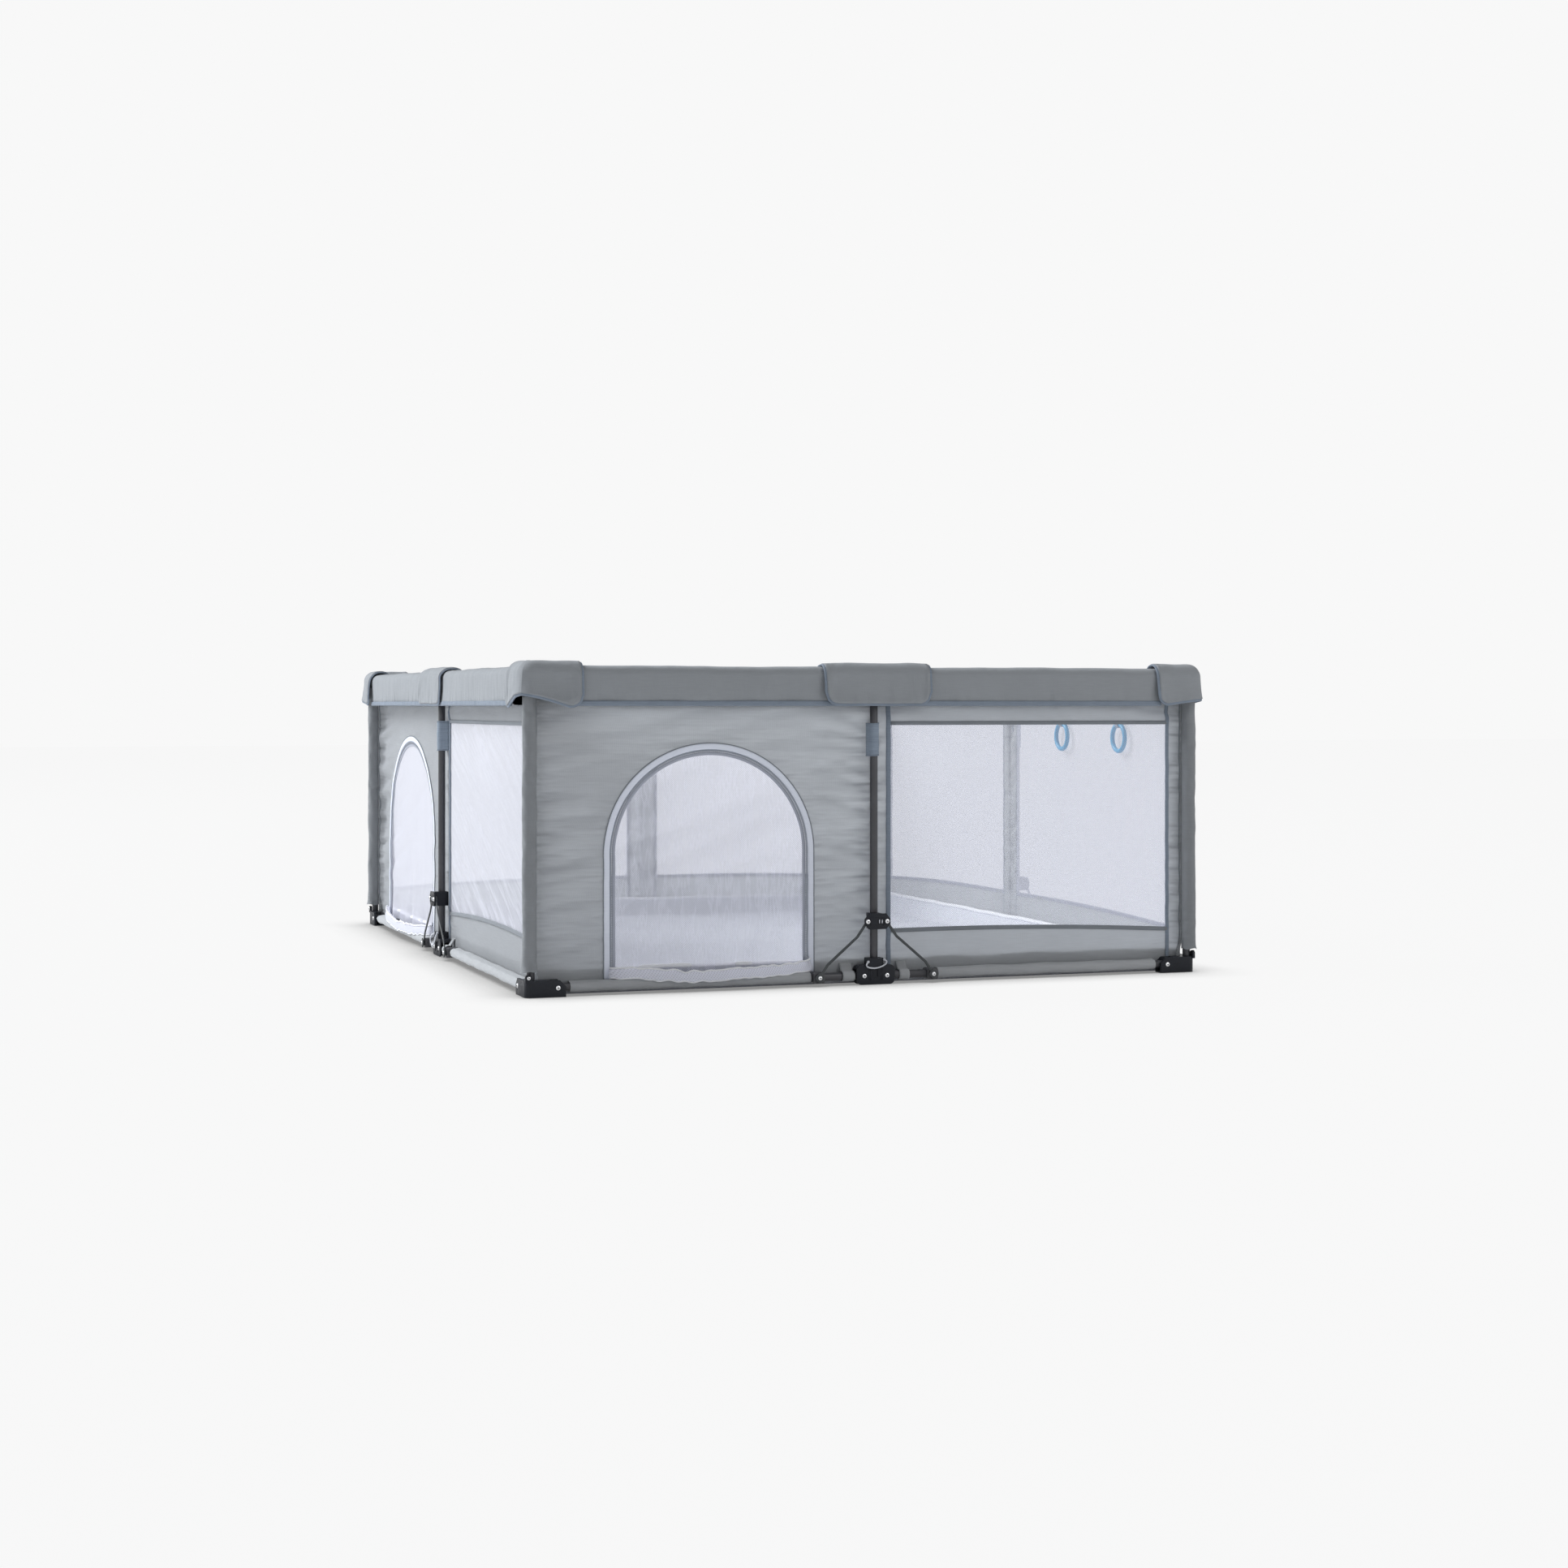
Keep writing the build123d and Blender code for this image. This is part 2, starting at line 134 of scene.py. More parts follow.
# turn in degrees, and the place of the post
CORNERS = {
    "front_left": (0, (-POST_X, -POST_Y)),
    "front_right": (90, (POST_X, -POST_Y)),
    "back_right": (180, (POST_X, POST_Y)),
    "back_left": (270, (-POST_X, POST_Y)),
}
# the corner at each end of a side
CORNER_OF = {
    ("front", "left"): "front_left",
    ("front", "right"): "front_right",
    ("right", "front"): "front_right",
    ("right", "back"): "back_right",
    ("back", "right"): "back_right",
    ("back", "left"): "back_left",
    ("left", "back"): "back_left",
    ("left", "front"): "front_left",
}
SIDE_OUT = Vector((0, -1, 0))  # outwards, in a side's own frame


def side_matrix(side):
    turn, _, plane, _ = SIDES[side]
    return Matrix.Rotation(radians(turn), 4, "Z") @ Matrix.Translation((0, -plane, 0))


def corner_matrix(corner):
    turn, (x, y) = CORNERS[corner]
    return Matrix.Translation((x, y, 0)) @ Matrix.Rotation(radians(turn), 4, "Z")


def sign_of(side, end):
    return -1 if end == SIDES[side][3][0] else 1


print("posts at", round(POST_X, 3), round(POST_Y, 3), "rails at", round(RAIL_LOW, 3), round(RAIL_TOP, 3))

# %% [markdown]
# The camera stands off the pen's near left corner, as high as the hems of the top covers, and its lens is
# long enough to keep the pen from bulging. It could be tilted down to centre the pen, but the posts would
# then lean together. So it looks level, and its frame is shifted down instead, which keeps them upright.

# %% Camera
CAMERA_PLACE = (-1.857, -5.616, 0.573)
CAMERA_YAW = 19.30  # degrees to the right of straight ahead
SENSOR_MM = 36.0
LENS_MM = 56.8136646
LENS_SHIFT = -0.05020704  # a share of the frame's width
camera_data = bpy.data.cameras.new("camera")
camera = bpy.data.objects.new("camera", camera_data)
bpy.context.scene.collection.objects.link(camera)
camera_data.sensor_width = SENSOR_MM
camera_data.lens = LENS_MM
camera_data.shift_y = LENS_SHIFT
camera.location = CAMERA_PLACE
camera.rotation_euler = (radians(90), 0, radians(-CAMERA_YAW))
bpy.context.scene.camera = camera
print("lens", round(camera_data.lens, 1), "mm")

# %% [markdown]
# A finish in Blender is a tree of nodes: patterns on the left, a shader, and the material's output.
# The nodes could be placed by hand in the editor. Written as small functions they say in one line what
# they do, and every finish below is put together from the same few: a grain, a wave, a sum, a ramp, a bump.

# %% Material helpers


def new_material(name):
    material = bpy.data.materials.new(name)
    material.use_nodes = True
    tree = material.node_tree
    tree.nodes.clear()
    output = tree.nodes.new("ShaderNodeOutputMaterial")
    return material, tree, output


def node(tree, kind, **sockets):
    """A node with constants on its sockets. An underscore in a name stands for a space."""
    made = tree.nodes.new(kind)
    for key, value in sockets.items():
        made.inputs[key.replace("_", " ")].default_value = value
    return made


def math_node(tree, operation, a, b):
    """Each of a and b is a number or another node's output."""
    made = tree.nodes.new("ShaderNodeMath")
    made.operation = operation
    for number, value in enumerate((a, b)):
        if isinstance(value, (int, float)):
            made.inputs[number].default_value = value
        else:
            tree.links.new(value, made.inputs[number])
    return made.outputs[0]


def mix_shaders(tree, share, first, second):
    """The second shader by that share, the first by the rest. share is a number or an output."""
    made = tree.nodes.new("ShaderNodeMixShader")
    if isinstance(share, (int, float)):
        made.inputs[0].default_value = share
    else:
        tree.links.new(share, made.inputs[0])
    tree.links.new(first.outputs[0], made.inputs[1])
    tree.links.new(second.outputs[0], made.inputs[2])
    return made


print("helpers for nodes, sums and mixes ready")

# %% Colour ramps


def ramp(tree, value, stops):
    """Colours by value. stops lists (position, (r, g, b)) from low to high."""
    made = tree.nodes.new("ShaderNodeValToRGB")
    elements = made.color_ramp.elements
    for at, _ in stops[1:-1]:
        elements.new(at)
    for element, (at, colour) in zip(elements, stops):
        element.position = at
        element.color = (*colour, 1)
    tree.links.new(value, made.inputs[0])
    return made.outputs[0]


def grey_ramp(tree, value, stops):
    """Greys by value. stops lists (position, level)."""
    return ramp(tree, value, [(at, (level, level, level)) for at, level in stops])


print("ramps ready")

# %% [markdown]
# Light. Soft daylight reaches the pen from the back left: the left side is bright, and the front stands in
# shade, lit by what comes through its thin cloth. Sunlight would draw hard shadows, and an even sky alone
# would draw none. One wide lamp far off gives the direction, a smaller one opens the shade in front, and
# the sky fills the rest.

# %% Light
SKY = 0.26
BACKGROUND = 0.939
LAMP_AIM = Vector((0, 0, 0.3))


def seen_directly(tree):
    """1 for rays that see the surface from the camera, in a gloss, or through a clear part."""
    path = tree.nodes.new("ShaderNodeLightPath")
    first = math_node(tree, "MAXIMUM", path.outputs["Is Camera Ray"], path.outputs["Is Glossy Ray"])
    return math_node(tree, "MAXIMUM", first, path.outputs["Is Transmission Ray"])


def make_world():
    """A dim sky for the light, behind a bright plain one that is only seen."""
    world = bpy.data.worlds.new("studio")
    bpy.context.scene.world = world
    world.use_nodes = True
    tree = world.node_tree
    tree.nodes.clear()
    output = tree.nodes.new("ShaderNodeOutputWorld")
    sky = node(tree, "ShaderNodeBackground", Color=(0.94, 0.97, 1.0, 1), Strength=SKY)
    seen = node(tree, "ShaderNodeBackground", Color=(BACKGROUND,) * 3 + (1,), Strength=1.0)
    tree.links.new(mix_shaders(tree, seen_directly(tree), sky, seen).outputs[0], output.inputs[0])


def make_lamp(name, place, size, power, colour=(1.0, 1.0, 1.0)):
    data = bpy.data.lights.new(name, "AREA")
    data.shape = "SQUARE"
    data.size = size
    data.energy = power
    data.color = colour
    lamp = bpy.data.objects.new(name, data)
    bpy.context.scene.collection.objects.link(lamp)
    lamp.location = place
    lamp.rotation_euler = (LAMP_AIM - Vector(place)).to_track_quat("-Z", "Y").to_euler()


make_world()
make_lamp("window_light", place=(-9.1, 5.5, 9.1), size=8.5, power=2230, colour=(0.93, 0.965, 1.0))
make_lamp("fill_light", place=(2.4, -3.4, 2.5), size=2.0, power=30)
print("a sky and", len(bpy.data.lights), "lamps")

# %% [markdown]
# The floor is as pale as what lies behind it, so the pen seems to stand in a white room. A plain white
# floor would show its own edge and uneven light. This one shines evenly by itself, and is dark only where
# the pen comes close: an occlusion node measures how much of the sky a point still sees within a hand's
# breadth. Light that falls on the pen's underside still comes from a real, lit floor.

# %% Floor
CONTACT_REACH = 0.14
EVEN_SHARE = 0.985
FLOOR_REACH = 30.0
FLOOR_DROP = 0.0005  # keeps the feet clear of the floor's own surface


def floor_material():
    material, tree, output = new_material("pale_floor")
    lit = node(tree, "ShaderNodeBsdfDiffuse", Color=(0.93, 0.93, 0.93, 1))
    open_sky = node(tree, "ShaderNodeAmbientOcclusion", Distance=CONTACT_REACH)
    open_sky.samples = 4
    stops = ((0.36, 0.27), (0.55, 0.46), (0.75, 0.78), (0.96, 1.0))
    contact = grey_ramp(tree, open_sky.outputs["AO"], [(at, level * BACKGROUND) for at, level in stops])
    even = node(tree, "ShaderNodeEmission", Strength=1.0)
    tree.links.new(contact, even.inputs["Color"])
    share = math_node(tree, "MULTIPLY", seen_directly(tree), EVEN_SHARE)
    tree.links.new(mix_shaders(tree, share, lit, even).outputs[0], output.inputs[0])
    return material


def make_floor():
    data = bpy.data.meshes.new("floor")
    corners = [(x * FLOOR_REACH, y * FLOOR_REACH, 0) for x, y in ((-1, -1), (1, -1), (1, 1), (-1, 1))]
    data.from_pydata(corners, [], [(0, 1, 2, 3)])
    data.materials.append(floor_material())
    floor = bpy.data.objects.new("floor", data)
    floor.location.z = -FLOOR_DROP
    bpy.context.scene.collection.objects.link(floor)
    floor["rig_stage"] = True


make_floor()
print("floor", 2 * FLOOR_REACH, "m wide")

# %% [markdown]
# Grain. Cloth, steel and plastic all have a fine grain that belongs to the piece and moves with it. It
# could be painted on an unwrapped skin. Noise and waves taken from the piece's own coordinates need no
# unwrapping, and have no seams.

# %% Grain helpers
WAVE = 6.28  # turns a spacing in metres into the scale of a wave node


def object_place(tree, scale=(1, 1, 1)):
    """Metres in the pen's own frame, stretched for grain."""
    where = tree.nodes.new("ShaderNodeTexCoord")
    mapping = tree.nodes.new("ShaderNodeMapping")
    mapping.inputs["Scale"].default_value = scale
    tree.links.new(where.outputs["Object"], mapping.inputs["Vector"])
    return mapping.outputs[0]


def noise_value(tree, place, scale, detail=3.0, rough=0.55):
    made = node(tree, "ShaderNodeTexNoise", Scale=scale, Detail=detail, Roughness=rough)
    tree.links.new(place, made.inputs["Vector"])
    return made.outputs[0]


def wave_value(tree, place, spacing, direction, distort=0.0):
    """Bands that rise or fall once in each spacing."""
    made = node(tree, "ShaderNodeTexWave", Scale=1 / spacing / WAVE, Distortion=distort)
    made.bands_direction = direction
    tree.links.new(place, made.inputs["Vector"])
    return made.outputs["Fac"]


def bump(tree, height, strength, distance):
    made = node(tree, "ShaderNodeBump", Strength=strength, Distance=distance)
    tree.links.new(height, made.inputs["Height"])
    return made.outputs[0]


def shade(colour, factor):
    return tuple(min(1.0, c * factor) for c in colour)


print("grain helpers ready")

# %% [markdown]
# Cloth: a plain woven oxford. Its threads cross about every millimetre, so they show as a fine bump and a
# faint slub. Where a seam gathers it, it puckers more finely than its mesh, so a second bump adds that,
# as high as the mesh says that the cloth is gathered. Thin cloth also passes light, which could be faked
# with a paler colour. A translucent share is truer: a wall glows only where there is light behind it.

# %% Woven cloth


def gathered_height(tree, stretch):
    """Fine puckers, as high as the mesh says that a seam gathers it there."""
    amount = tree.nodes.new("ShaderNodeAttribute")
    amount.attribute_name = "gathered"
    fine = noise_value(tree, object_place(tree, stretch), 1.0, 1.0, 0.4)
    return math_node(tree, "MULTIPLY", fine, amount.outputs["Fac"])


def cloth_material(name, colour, see_through=0.0, thread=0.0011, slub=0.04, sheen=0.15, gathers=None):
    """Plain weave. see_through is the share of light that the cloth passes. gathers is how deep its
    puckers stand, and how finely they repeat along x, y and z."""
    material, tree, output = new_material(name)
    place = object_place(tree)
    across = wave_value(tree, place, thread, "Z", 0.6)
    along = wave_value(tree, object_place(tree, (1, 1, 0)), thread, "DIAGONAL", 0.6)
    weave = math_node(tree, "MULTIPLY", across, along)
    slubs = noise_value(tree, object_place(tree, (30, 30, 420)), 1.0, 2.0)
    blots = math_node(tree, "MULTIPLY", noise_value(tree, place, 9.0, 4.0), 0.4)
    mixed = math_node(tree, "ADD", math_node(tree, "MULTIPLY", slubs, 0.6), blots)
    stops = [(0.3, shade(colour, 1 - slub)), (0.5, colour), (0.7, shade(colour, 1 + slub))]
    tint = ramp(tree, mixed, stops)
    shader = node(tree, "ShaderNodeBsdfPrincipled", Roughness=0.86, Specular_IOR_Level=0.25)
    shader.inputs["Sheen Weight"].default_value = sheen
    shader.inputs["Sheen Roughness"].default_value = 0.5
    tree.links.new(tint, shader.inputs["Base Color"])
    relief = math_node(tree, "ADD", weave, math_node(tree, "MULTIPLY", slubs, 0.7))
    weave_bump = node(tree, "ShaderNodeBump", Strength=0.35, Distance=0.0004)
    tree.links.new(relief, weave_bump.inputs["Height"])
    tree.links.new(weave_bump.outputs[0], shader.inputs["Normal"])
    if gathers:
        depth, stretch = gathers
        tree.links.new(bump(tree, gathered_height(tree, stretch), 1.0, depth), weave_bump.inputs["Normal"])
    if not see_through:
        tree.links.new(shader.outputs[0], output.inputs[0])
        return material
    through = node(tree, "ShaderNodeBsdfTranslucent")
    tree.links.new(tint, through.inputs["Color"])
    tree.links.new(weave_bump.outputs[0], through.inputs["Normal"])
    tree.links.new(mix_shaders(tree, see_through, shader, through).outputs[0], output.inputs[0])
    return material


print("woven cloth ready")

# %% The pen's cloths
GREY = (0.538, 0.549, 0.562)
wall_cloth = cloth_material("wall_oxford", shade(GREY, 1.19), see_through=0.60, gathers=(0.016, (10, 10, 62)))
PAD_GREY, SLEEVE_GREY = (0.322, 0.336, 0.355), (0.262, 0.272, 0.285)
padded_cloth = cloth_material("padded_oxford", PAD_GREY, thread=0.0012, gathers=(0.008, (50, 50, 12)))
sleeve_cloth = cloth_material("sleeve_oxford", SLEEVE_GREY, gathers=(0.010, (34, 34, 40)))
hem_cloth = cloth_material("hem_oxford", shade(GREY, 0.86))
binding_cloth = cloth_material("binding_tape", (0.235, 0.275, 0.335), thread=0.0008, slub=0.1)
piping_cloth = cloth_material("window_piping", (0.245, 0.262, 0.285), thread=0.0008, slub=0.1)
zip_cloth = cloth_material("zip_tape", (0.36, 0.39, 0.45), thread=0.0007)
band_cloth = cloth_material("zip_band", (0.44, 0.46, 0.53), thread=0.0007)
pale_tape = cloth_material("pale_tape", (0.85, 0.88, 0.98), thread=0.0007, slub=0.03)
strap_cloth = cloth_material("strap_tape", (0.27, 0.32, 0.39), thread=0.0016, slub=0.14)
mat_cloth = cloth_material("mat_cloth", (0.71, 0.72, 0.775), thread=0.0012, slub=0.05)
rim_cloth = cloth_material("mat_rim_cloth", (0.70, 0.71, 0.76), thread=0.0012)
edge_white = cloth_material("mat_edge_tape", (0.96, 0.96, 0.98), thread=0.0009, slub=0.02)
print("cloths and floor,", len(bpy.data.materials), "materials")

# %% [markdown]
# Net: knitted threads round holes of a millimetre or two. From a few steps away it reads as a pale veil.
# Real holes would need a mesh of millions of faces. The shader lets a share of the light straight through
# instead, in a pattern of small diamonds, and less where a slack net lies double in its folds.

# %% Net
DIAMOND = 1.7  # slanting bands run this much closer than level ones


def net_streaks(tree):
    """Pale slanting streaks where a slack net is pulled into folds, low down and near the top."""
    where = tree.nodes.new("ShaderNodeTexCoord")
    parts = tree.nodes.new("ShaderNodeSeparateXYZ")
    tree.links.new(where.outputs["Object"], parts.inputs[0])
    slanted = tree.nodes.new("ShaderNodeCombineXYZ")
    for number, (of_y, of_z) in enumerate(((-17.0, 34.0), (2.6, 1.3))):
        y_part = math_node(tree, "MULTIPLY", parts.outputs["Y"], of_y)
        z_part = math_node(tree, "MULTIPLY", parts.outputs["Z"], of_z)
        tree.links.new(math_node(tree, "ADD", y_part, z_part), slanted.inputs[number])
    folds = noise_value(tree, slanted.outputs[0], 1.0, 3.0, 0.6)
    sharp = grey_ramp(tree, folds, [(0.46, 0), (0.60, 1), (0.72, 0.4)])
    by_height = grey_ramp(tree, parts.outputs["Z"], [(0.10, 1), (0.24, 0.35), (0.38, 0.12), (0.55, 0.6)])
    return math_node(tree, "MULTIPLY", sharp, by_height)


def net_cover(tree, threads, cover, streaks, slack):
    """The share of the view that the threads stop at a point."""
    drift = noise_value(tree, object_place(tree, (1, 1, 0)), 14.0, 2.0)
    stops = math_node(tree, "ADD", math_node(tree, "MULTIPLY", threads, 0.30), cover - 0.20)
    stops = math_node(tree, "ADD", stops, math_node(tree, "MULTIPLY", drift, 0.06))
    if streaks:
        stops = math_node(tree, "ADD", stops, math_node(tree, "MULTIPLY", net_streaks(tree), streaks))
    if slack:
        creases = noise_value(tree, object_place(tree, (85, 85, 15)), 1.0, 2.0, 0.6)
        lines = grey_ramp(tree, creases, [(0.44, 0), (0.58, 1), (0.66, 0.2)])
        stops = math_node(tree, "ADD", stops, math_node(tree, "MULTIPLY", lines, slack))
    return stops


def net_material(name, colour, cover, hole=0.0018, streaks=0.0, slack=0.0):
    """cover is the share of the view that the threads stop, and slack is how much fine creases add."""
    material, tree, output = new_material(name)
    lean = wave_value(tree, object_place(tree, (1, 1, 1)), hole / DIAMOND, "DIAGONAL")
    other = wave_value(tree, object_place(tree, (1, 1, -1)), hole / DIAMOND, "DIAGONAL")
    threads = math_node(tree, "MAXIMUM", lean, other)
    shader = node(tree, "ShaderNodeBsdfPrincipled", Roughness=0.7, Specular_IOR_Level=0.3, Sheen_Weight=0.2)
    shader.inputs["Base Color"].default_value = (*colour, 1)
    tree.links.new(bump(tree, threads, 0.3, 0.0003), shader.inputs["Normal"])
    through = node(tree, "ShaderNodeBsdfTranslucent", Color=(*colour, 1))
    veil = mix_shaders(tree, 0.45, shader, through)
    clear = tree.nodes.new("ShaderNodeBsdfTransparent")
    stops = net_cover(tree, threads, cover, streaks, slack)
    tree.links.new(mix_shaders(tree, stops, clear, veil).outputs[0], output.inputs[0])
    return material


print("net ready")

# %% The pen's nets
front_net = net_material("front_net", (0.66, 0.67, 0.745), 0.34)
window_net = net_material("window_net", (0.66, 0.67, 0.755), 0.60)
# painted light: this net, on the lit left side, is a whiter copy of the window net
pulled_net = net_material("pulled_net", (0.86, 0.865, 0.93), 0.60, streaks=0.34)
door_net = net_material("door_net", (0.83, 0.84, 0.93), 0.40, slack=0.15)
# painted light: the left door's net is a whiter, denser version of the front door's net, for the lit side
long_door_net = net_material("long_door_net", (0.88, 0.88, 0.95), 0.74)
print("cloths, nets and floor,", len(bpy.data.materials), "materials")

# %% [markdown]
# Hard parts: powder-coated steel with a faint orange peel, moulded black plastic with a fine grain, and
# bright zinc on the screws. Scanned textures would suit one size of part only. One function makes them
# all here, from patches for the handling, a second noise for the gloss and a fine one for the grain.

# %% Hard materials


def hard_material(
    name, colour, rough, metal=0.0, grain=900.0, grain_depth=0.00012, strength=0.25, wear=0.15, shine=0.5
):
    material, tree, output = new_material(name)
    place = object_place(tree)
    patches = noise_value(tree, place, 38.0, 5.0)
    stops = [(0.25, shade(colour, 1 - wear)), (0.55, colour), (0.8, shade(colour, 1 + wear * 1.6))]
    sheen = noise_value(tree, place, 60.0, 3.0)
    gloss = grey_ramp(tree, sheen, [(0.3, rough * 0.85), (0.7, min(1, rough * 1.2))])
    shader = node(tree, "ShaderNodeBsdfPrincipled", Metallic=metal, Specular_IOR_Level=shine)
    tree.links.new(ramp(tree, patches, stops), shader.inputs["Base Color"])
    tree.links.new(gloss, shader.inputs["Roughness"])
    peel = bump(tree, noise_value(tree, place, grain, 2.0), strength, grain_depth)
    tree.links.new(peel, shader.inputs["Normal"])
    tree.links.new(shader.outputs[0], output.inputs[0])
    return material


dark_steel = hard_material("powder_coated_steel", (0.060, 0.060, 0.068), 0.38, grain=1400.0)
dark_rod = hard_material("brace_steel", (0.040, 0.046, 0.050), 0.36)
BLACK = (0.012, 0.014, 0.020)
black_plastic = hard_material("black_plastic", BLACK, 0.42, grain=1800.0, strength=0.35, shine=0.25)
zinc = hard_material("zinc_screw", (0.74, 0.75, 0.77), 0.28, metal=1.0, wear=0.1)
# painted shade: the dark colour of the flat cross on each screw head, in place of a real recess
recess_painted_shade = hard_material("screw_recess", (0.18, 0.18, 0.19), 0.5, metal=0.8)
blue_plastic = hard_material("light_blue_plastic", (0.002, 0.32, 0.58), 0.32, wear=0.05, strength=0.1)
CORD_WHITE = (0.80, 0.81, 0.86)
white_cord = hard_material("white_cord", CORD_WHITE, 0.75, grain=2600.0, grain_depth=0.0004, strength=0.6)
print("all finishes,", len(bpy.data.materials), "materials")

# %% [markdown]
# Nearly every soft piece is one of two shapes. A panel of cloth is a grid of points with a face in each
# gap. Tape, piping and straps are an oval carried along a line, with its flat side towards a given
# direction. A plane bent by modifiers or a bevelled curve would do for one piece. Two functions do for all.

# %% A grid of points


def add_object(name, points, faces, material, smooth=True):
    data = bpy.data.meshes.new(name)
    data.from_pydata([tuple(p) for p in points], [], faces)
    data.update()
    data.materials.append(material)
    if smooth:
        data.polygons.foreach_set("use_smooth", [True] * len(data.polygons))
    made = bpy.data.objects.new(name, data)
    bpy.context.scene.collection.objects.link(made)
    return made


def grid_faces(rows, columns, keep=None, closed=False):
    faces = []
    for i in range(rows - 1):
        for j in range(columns if closed else columns - 1):
            k = (j + 1) % columns
            if keep is None or keep(i, j):
                here, there = i * columns, (i + 1) * columns
                faces.append((here + j, here + k, there + k, there + j))
    return faces


def grid_object(name, rows, material, keep=None, closed=False):
    """rows is a list of equally long lists of points. keep(i, j) is false where a hole is."""
    points = [p for row in rows for p in row]
    return add_object(name, points, grid_faces(len(rows), len(rows[0]), keep, closed), material)


def spaced(*stops, step):
    """Values from stop to stop, each stretch cut evenly into steps of about that size."""
    values = [stops[0]]
    for a, b in zip(stops, stops[1:]):
        count = max(1, round((b - a) / step))
        values += [a + (b - a) * i / count for i in range(1, count + 1)]
    return values


print("a grid of 3 by 4 points has", len(grid_faces(3, 4)), "faces")

# %% A section along a line


def sweep_mesh(line, facing, half_width, half_thick, sides=10, closed=False, square=0.6):
    """Points and faces of an oval tape. facing is the tape's flat direction, at each point or for all."""
    points, count = [], len(line)
    for i, p in enumerate(line):
        before = line[i - 1] if i or closed else p
        after = line[(i + 1) % count] if i < count - 1 or closed else p
        along = (after - before).normalized()
        out = facing[i] if isinstance(facing, list) else facing
        across = along.cross(out).normalized()
        up = across.cross(along).normalized()
        wide = half_width(i) if callable(half_width) else half_width
        for k in range(sides):
            a = 2 * pi * k / sides
            ca, sa = cos(a), sin(a)
            to_side = across * (wide * abs(ca) ** square * (1 if ca >= 0 else -1))
            to_face = up * (half_thick * abs(sa) ** square * (1 if sa >= 0 else -1))
            points.append(p + to_side + to_face)
    faces = grid_faces(count, sides, closed=True)
    last = (count - 1) * sides
    if closed:
        faces += [(last + k, last + (k + 1) % sides, (k + 1) % sides, k) for k in range(sides)]
    else:
        faces.append(tuple(reversed(range(sides))))
        faces.append(tuple(last + k for k in range(sides)))
    return points, faces


print("an oval of 10 points, three times along a line:", 2 * len(grid_faces(2, 10, closed=True)), "faces")

# %% Tapes and bars


def sweep_object(name, line, facing, half_width, half_thick, material, sides=10, closed=False, **options):
    """The tape with its run in metres as texture coordinates, so a pattern can follow it."""
    points, faces = sweep_mesh(line, facing, half_width, half_thick, sides=sides, closed=closed, **options)
    made = add_object(name, points, faces, material)
    run = [0.0]
    for a, b in zip(line, line[1:] + line[:1]):
        run.append(run[-1] + (b - a).length)
    layer = made.data.uv_layers.new(name="along")
    for face in made.data.polygons:
        corners = [made.data.loops[i].vertex_index for i in face.loop_indices]
        wraps = len(corners) == 4 and {0, sides - 1} <= {c % sides for c in corners}
        for loop, corner in zip(face.loop_indices, corners):
            i, k = divmod(corner, sides)
            if i == 0 and closed and max(corners) // sides == len(line) - 1:
                i = len(line)
            layer.data[loop].uv = (run[i], (sides if wraps and k == 0 else k) / sides)
    return made


def straight_bar(name, start, step, half_width, half_thick, material, facing, **options):
    """A short sweep from start, by step."""
    return sweep_object(name, [start, start + step], facing, half_width, half_thick, material, **options)


def rounded_loop(corners):
    """Points along a closed outline, four to each of its edges, so that a sweep turns cleanly."""
    return [a.lerp(b, k / 4) for a, b in zip(corners, corners[1:] + corners[:1]) for k in range(4)]


print("sweeps ready")

# %% [markdown]
# A sewn piece is often several at once: a pad and its two hems, a strap and its edges. They could stay
# apart, but what is sewn together moves together. So they are joined here, each with its own material.
# Gathers are marked on the mesh as a number for each point, which the cloth's shader then reads.

# %% Gathers, placing and thickness


def mark_gathers(made, share):
    """share(point) is how strongly a seam gathers the cloth there, from none to one."""
    layer = made.data.attributes.new("gathered", "FLOAT", "POINT")
    for vertex, item in zip(made.data.vertices, layer.data):
        item.value = max(0.0, min(1.0, share(vertex.co)))
    return made


def place_mesh(made, matrix):
    made.data.transform(matrix)
    return made


def thicken(made, amount, offset=0.0):
    solid = made.modifiers.new("thickness", "SOLIDIFY")
    solid.thickness = amount
    solid.offset = offset
    return made


print("gathers, placing and thickness ready")

# %% Joining


def join_objects(name, objects):
    """One object from several, keeping their materials."""
    mesh = bmesh.new()
    materials = []
    for made in objects:
        part = bmesh.new()
        part.from_mesh(made.data)
        for face in part.faces:
            material = made.data.materials[face.material_index]
            if material not in materials:
                materials.append(material)
            face.material_index = materials.index(material)
        scratch = bpy.data.meshes.new("scratch")
        part.to_mesh(scratch)
        part.free()
        mesh.from_mesh(scratch)
        bpy.data.meshes.remove(scratch)
        bpy.data.objects.remove(made)
    data = bpy.data.meshes.new(name)
    mesh.to_mesh(data)
    mesh.free()
    for material in materials:
        data.materials.append(material)
    joined = bpy.data.objects.new(name, data)
    bpy.context.scene.collection.objects.link(joined)
    return joined


print("joining ready")

# %% [markdown]
# The frame folds by lifting each middle post between two corners. Corner and middle posts only slide and
# never turn, so a cloth point part of the way along moves by that part of the middle post's travel.
# Bones or a cloth run could carry the walls too. A Hook modifier with a weight for each point gives
# exactly that shear, from the bodies that are there already.

# %% How cloth follows the folding frame
CORNER_PIVOT = 0.052
MID_PIVOT = 0.025
NO_WEIGHT = 0.0005


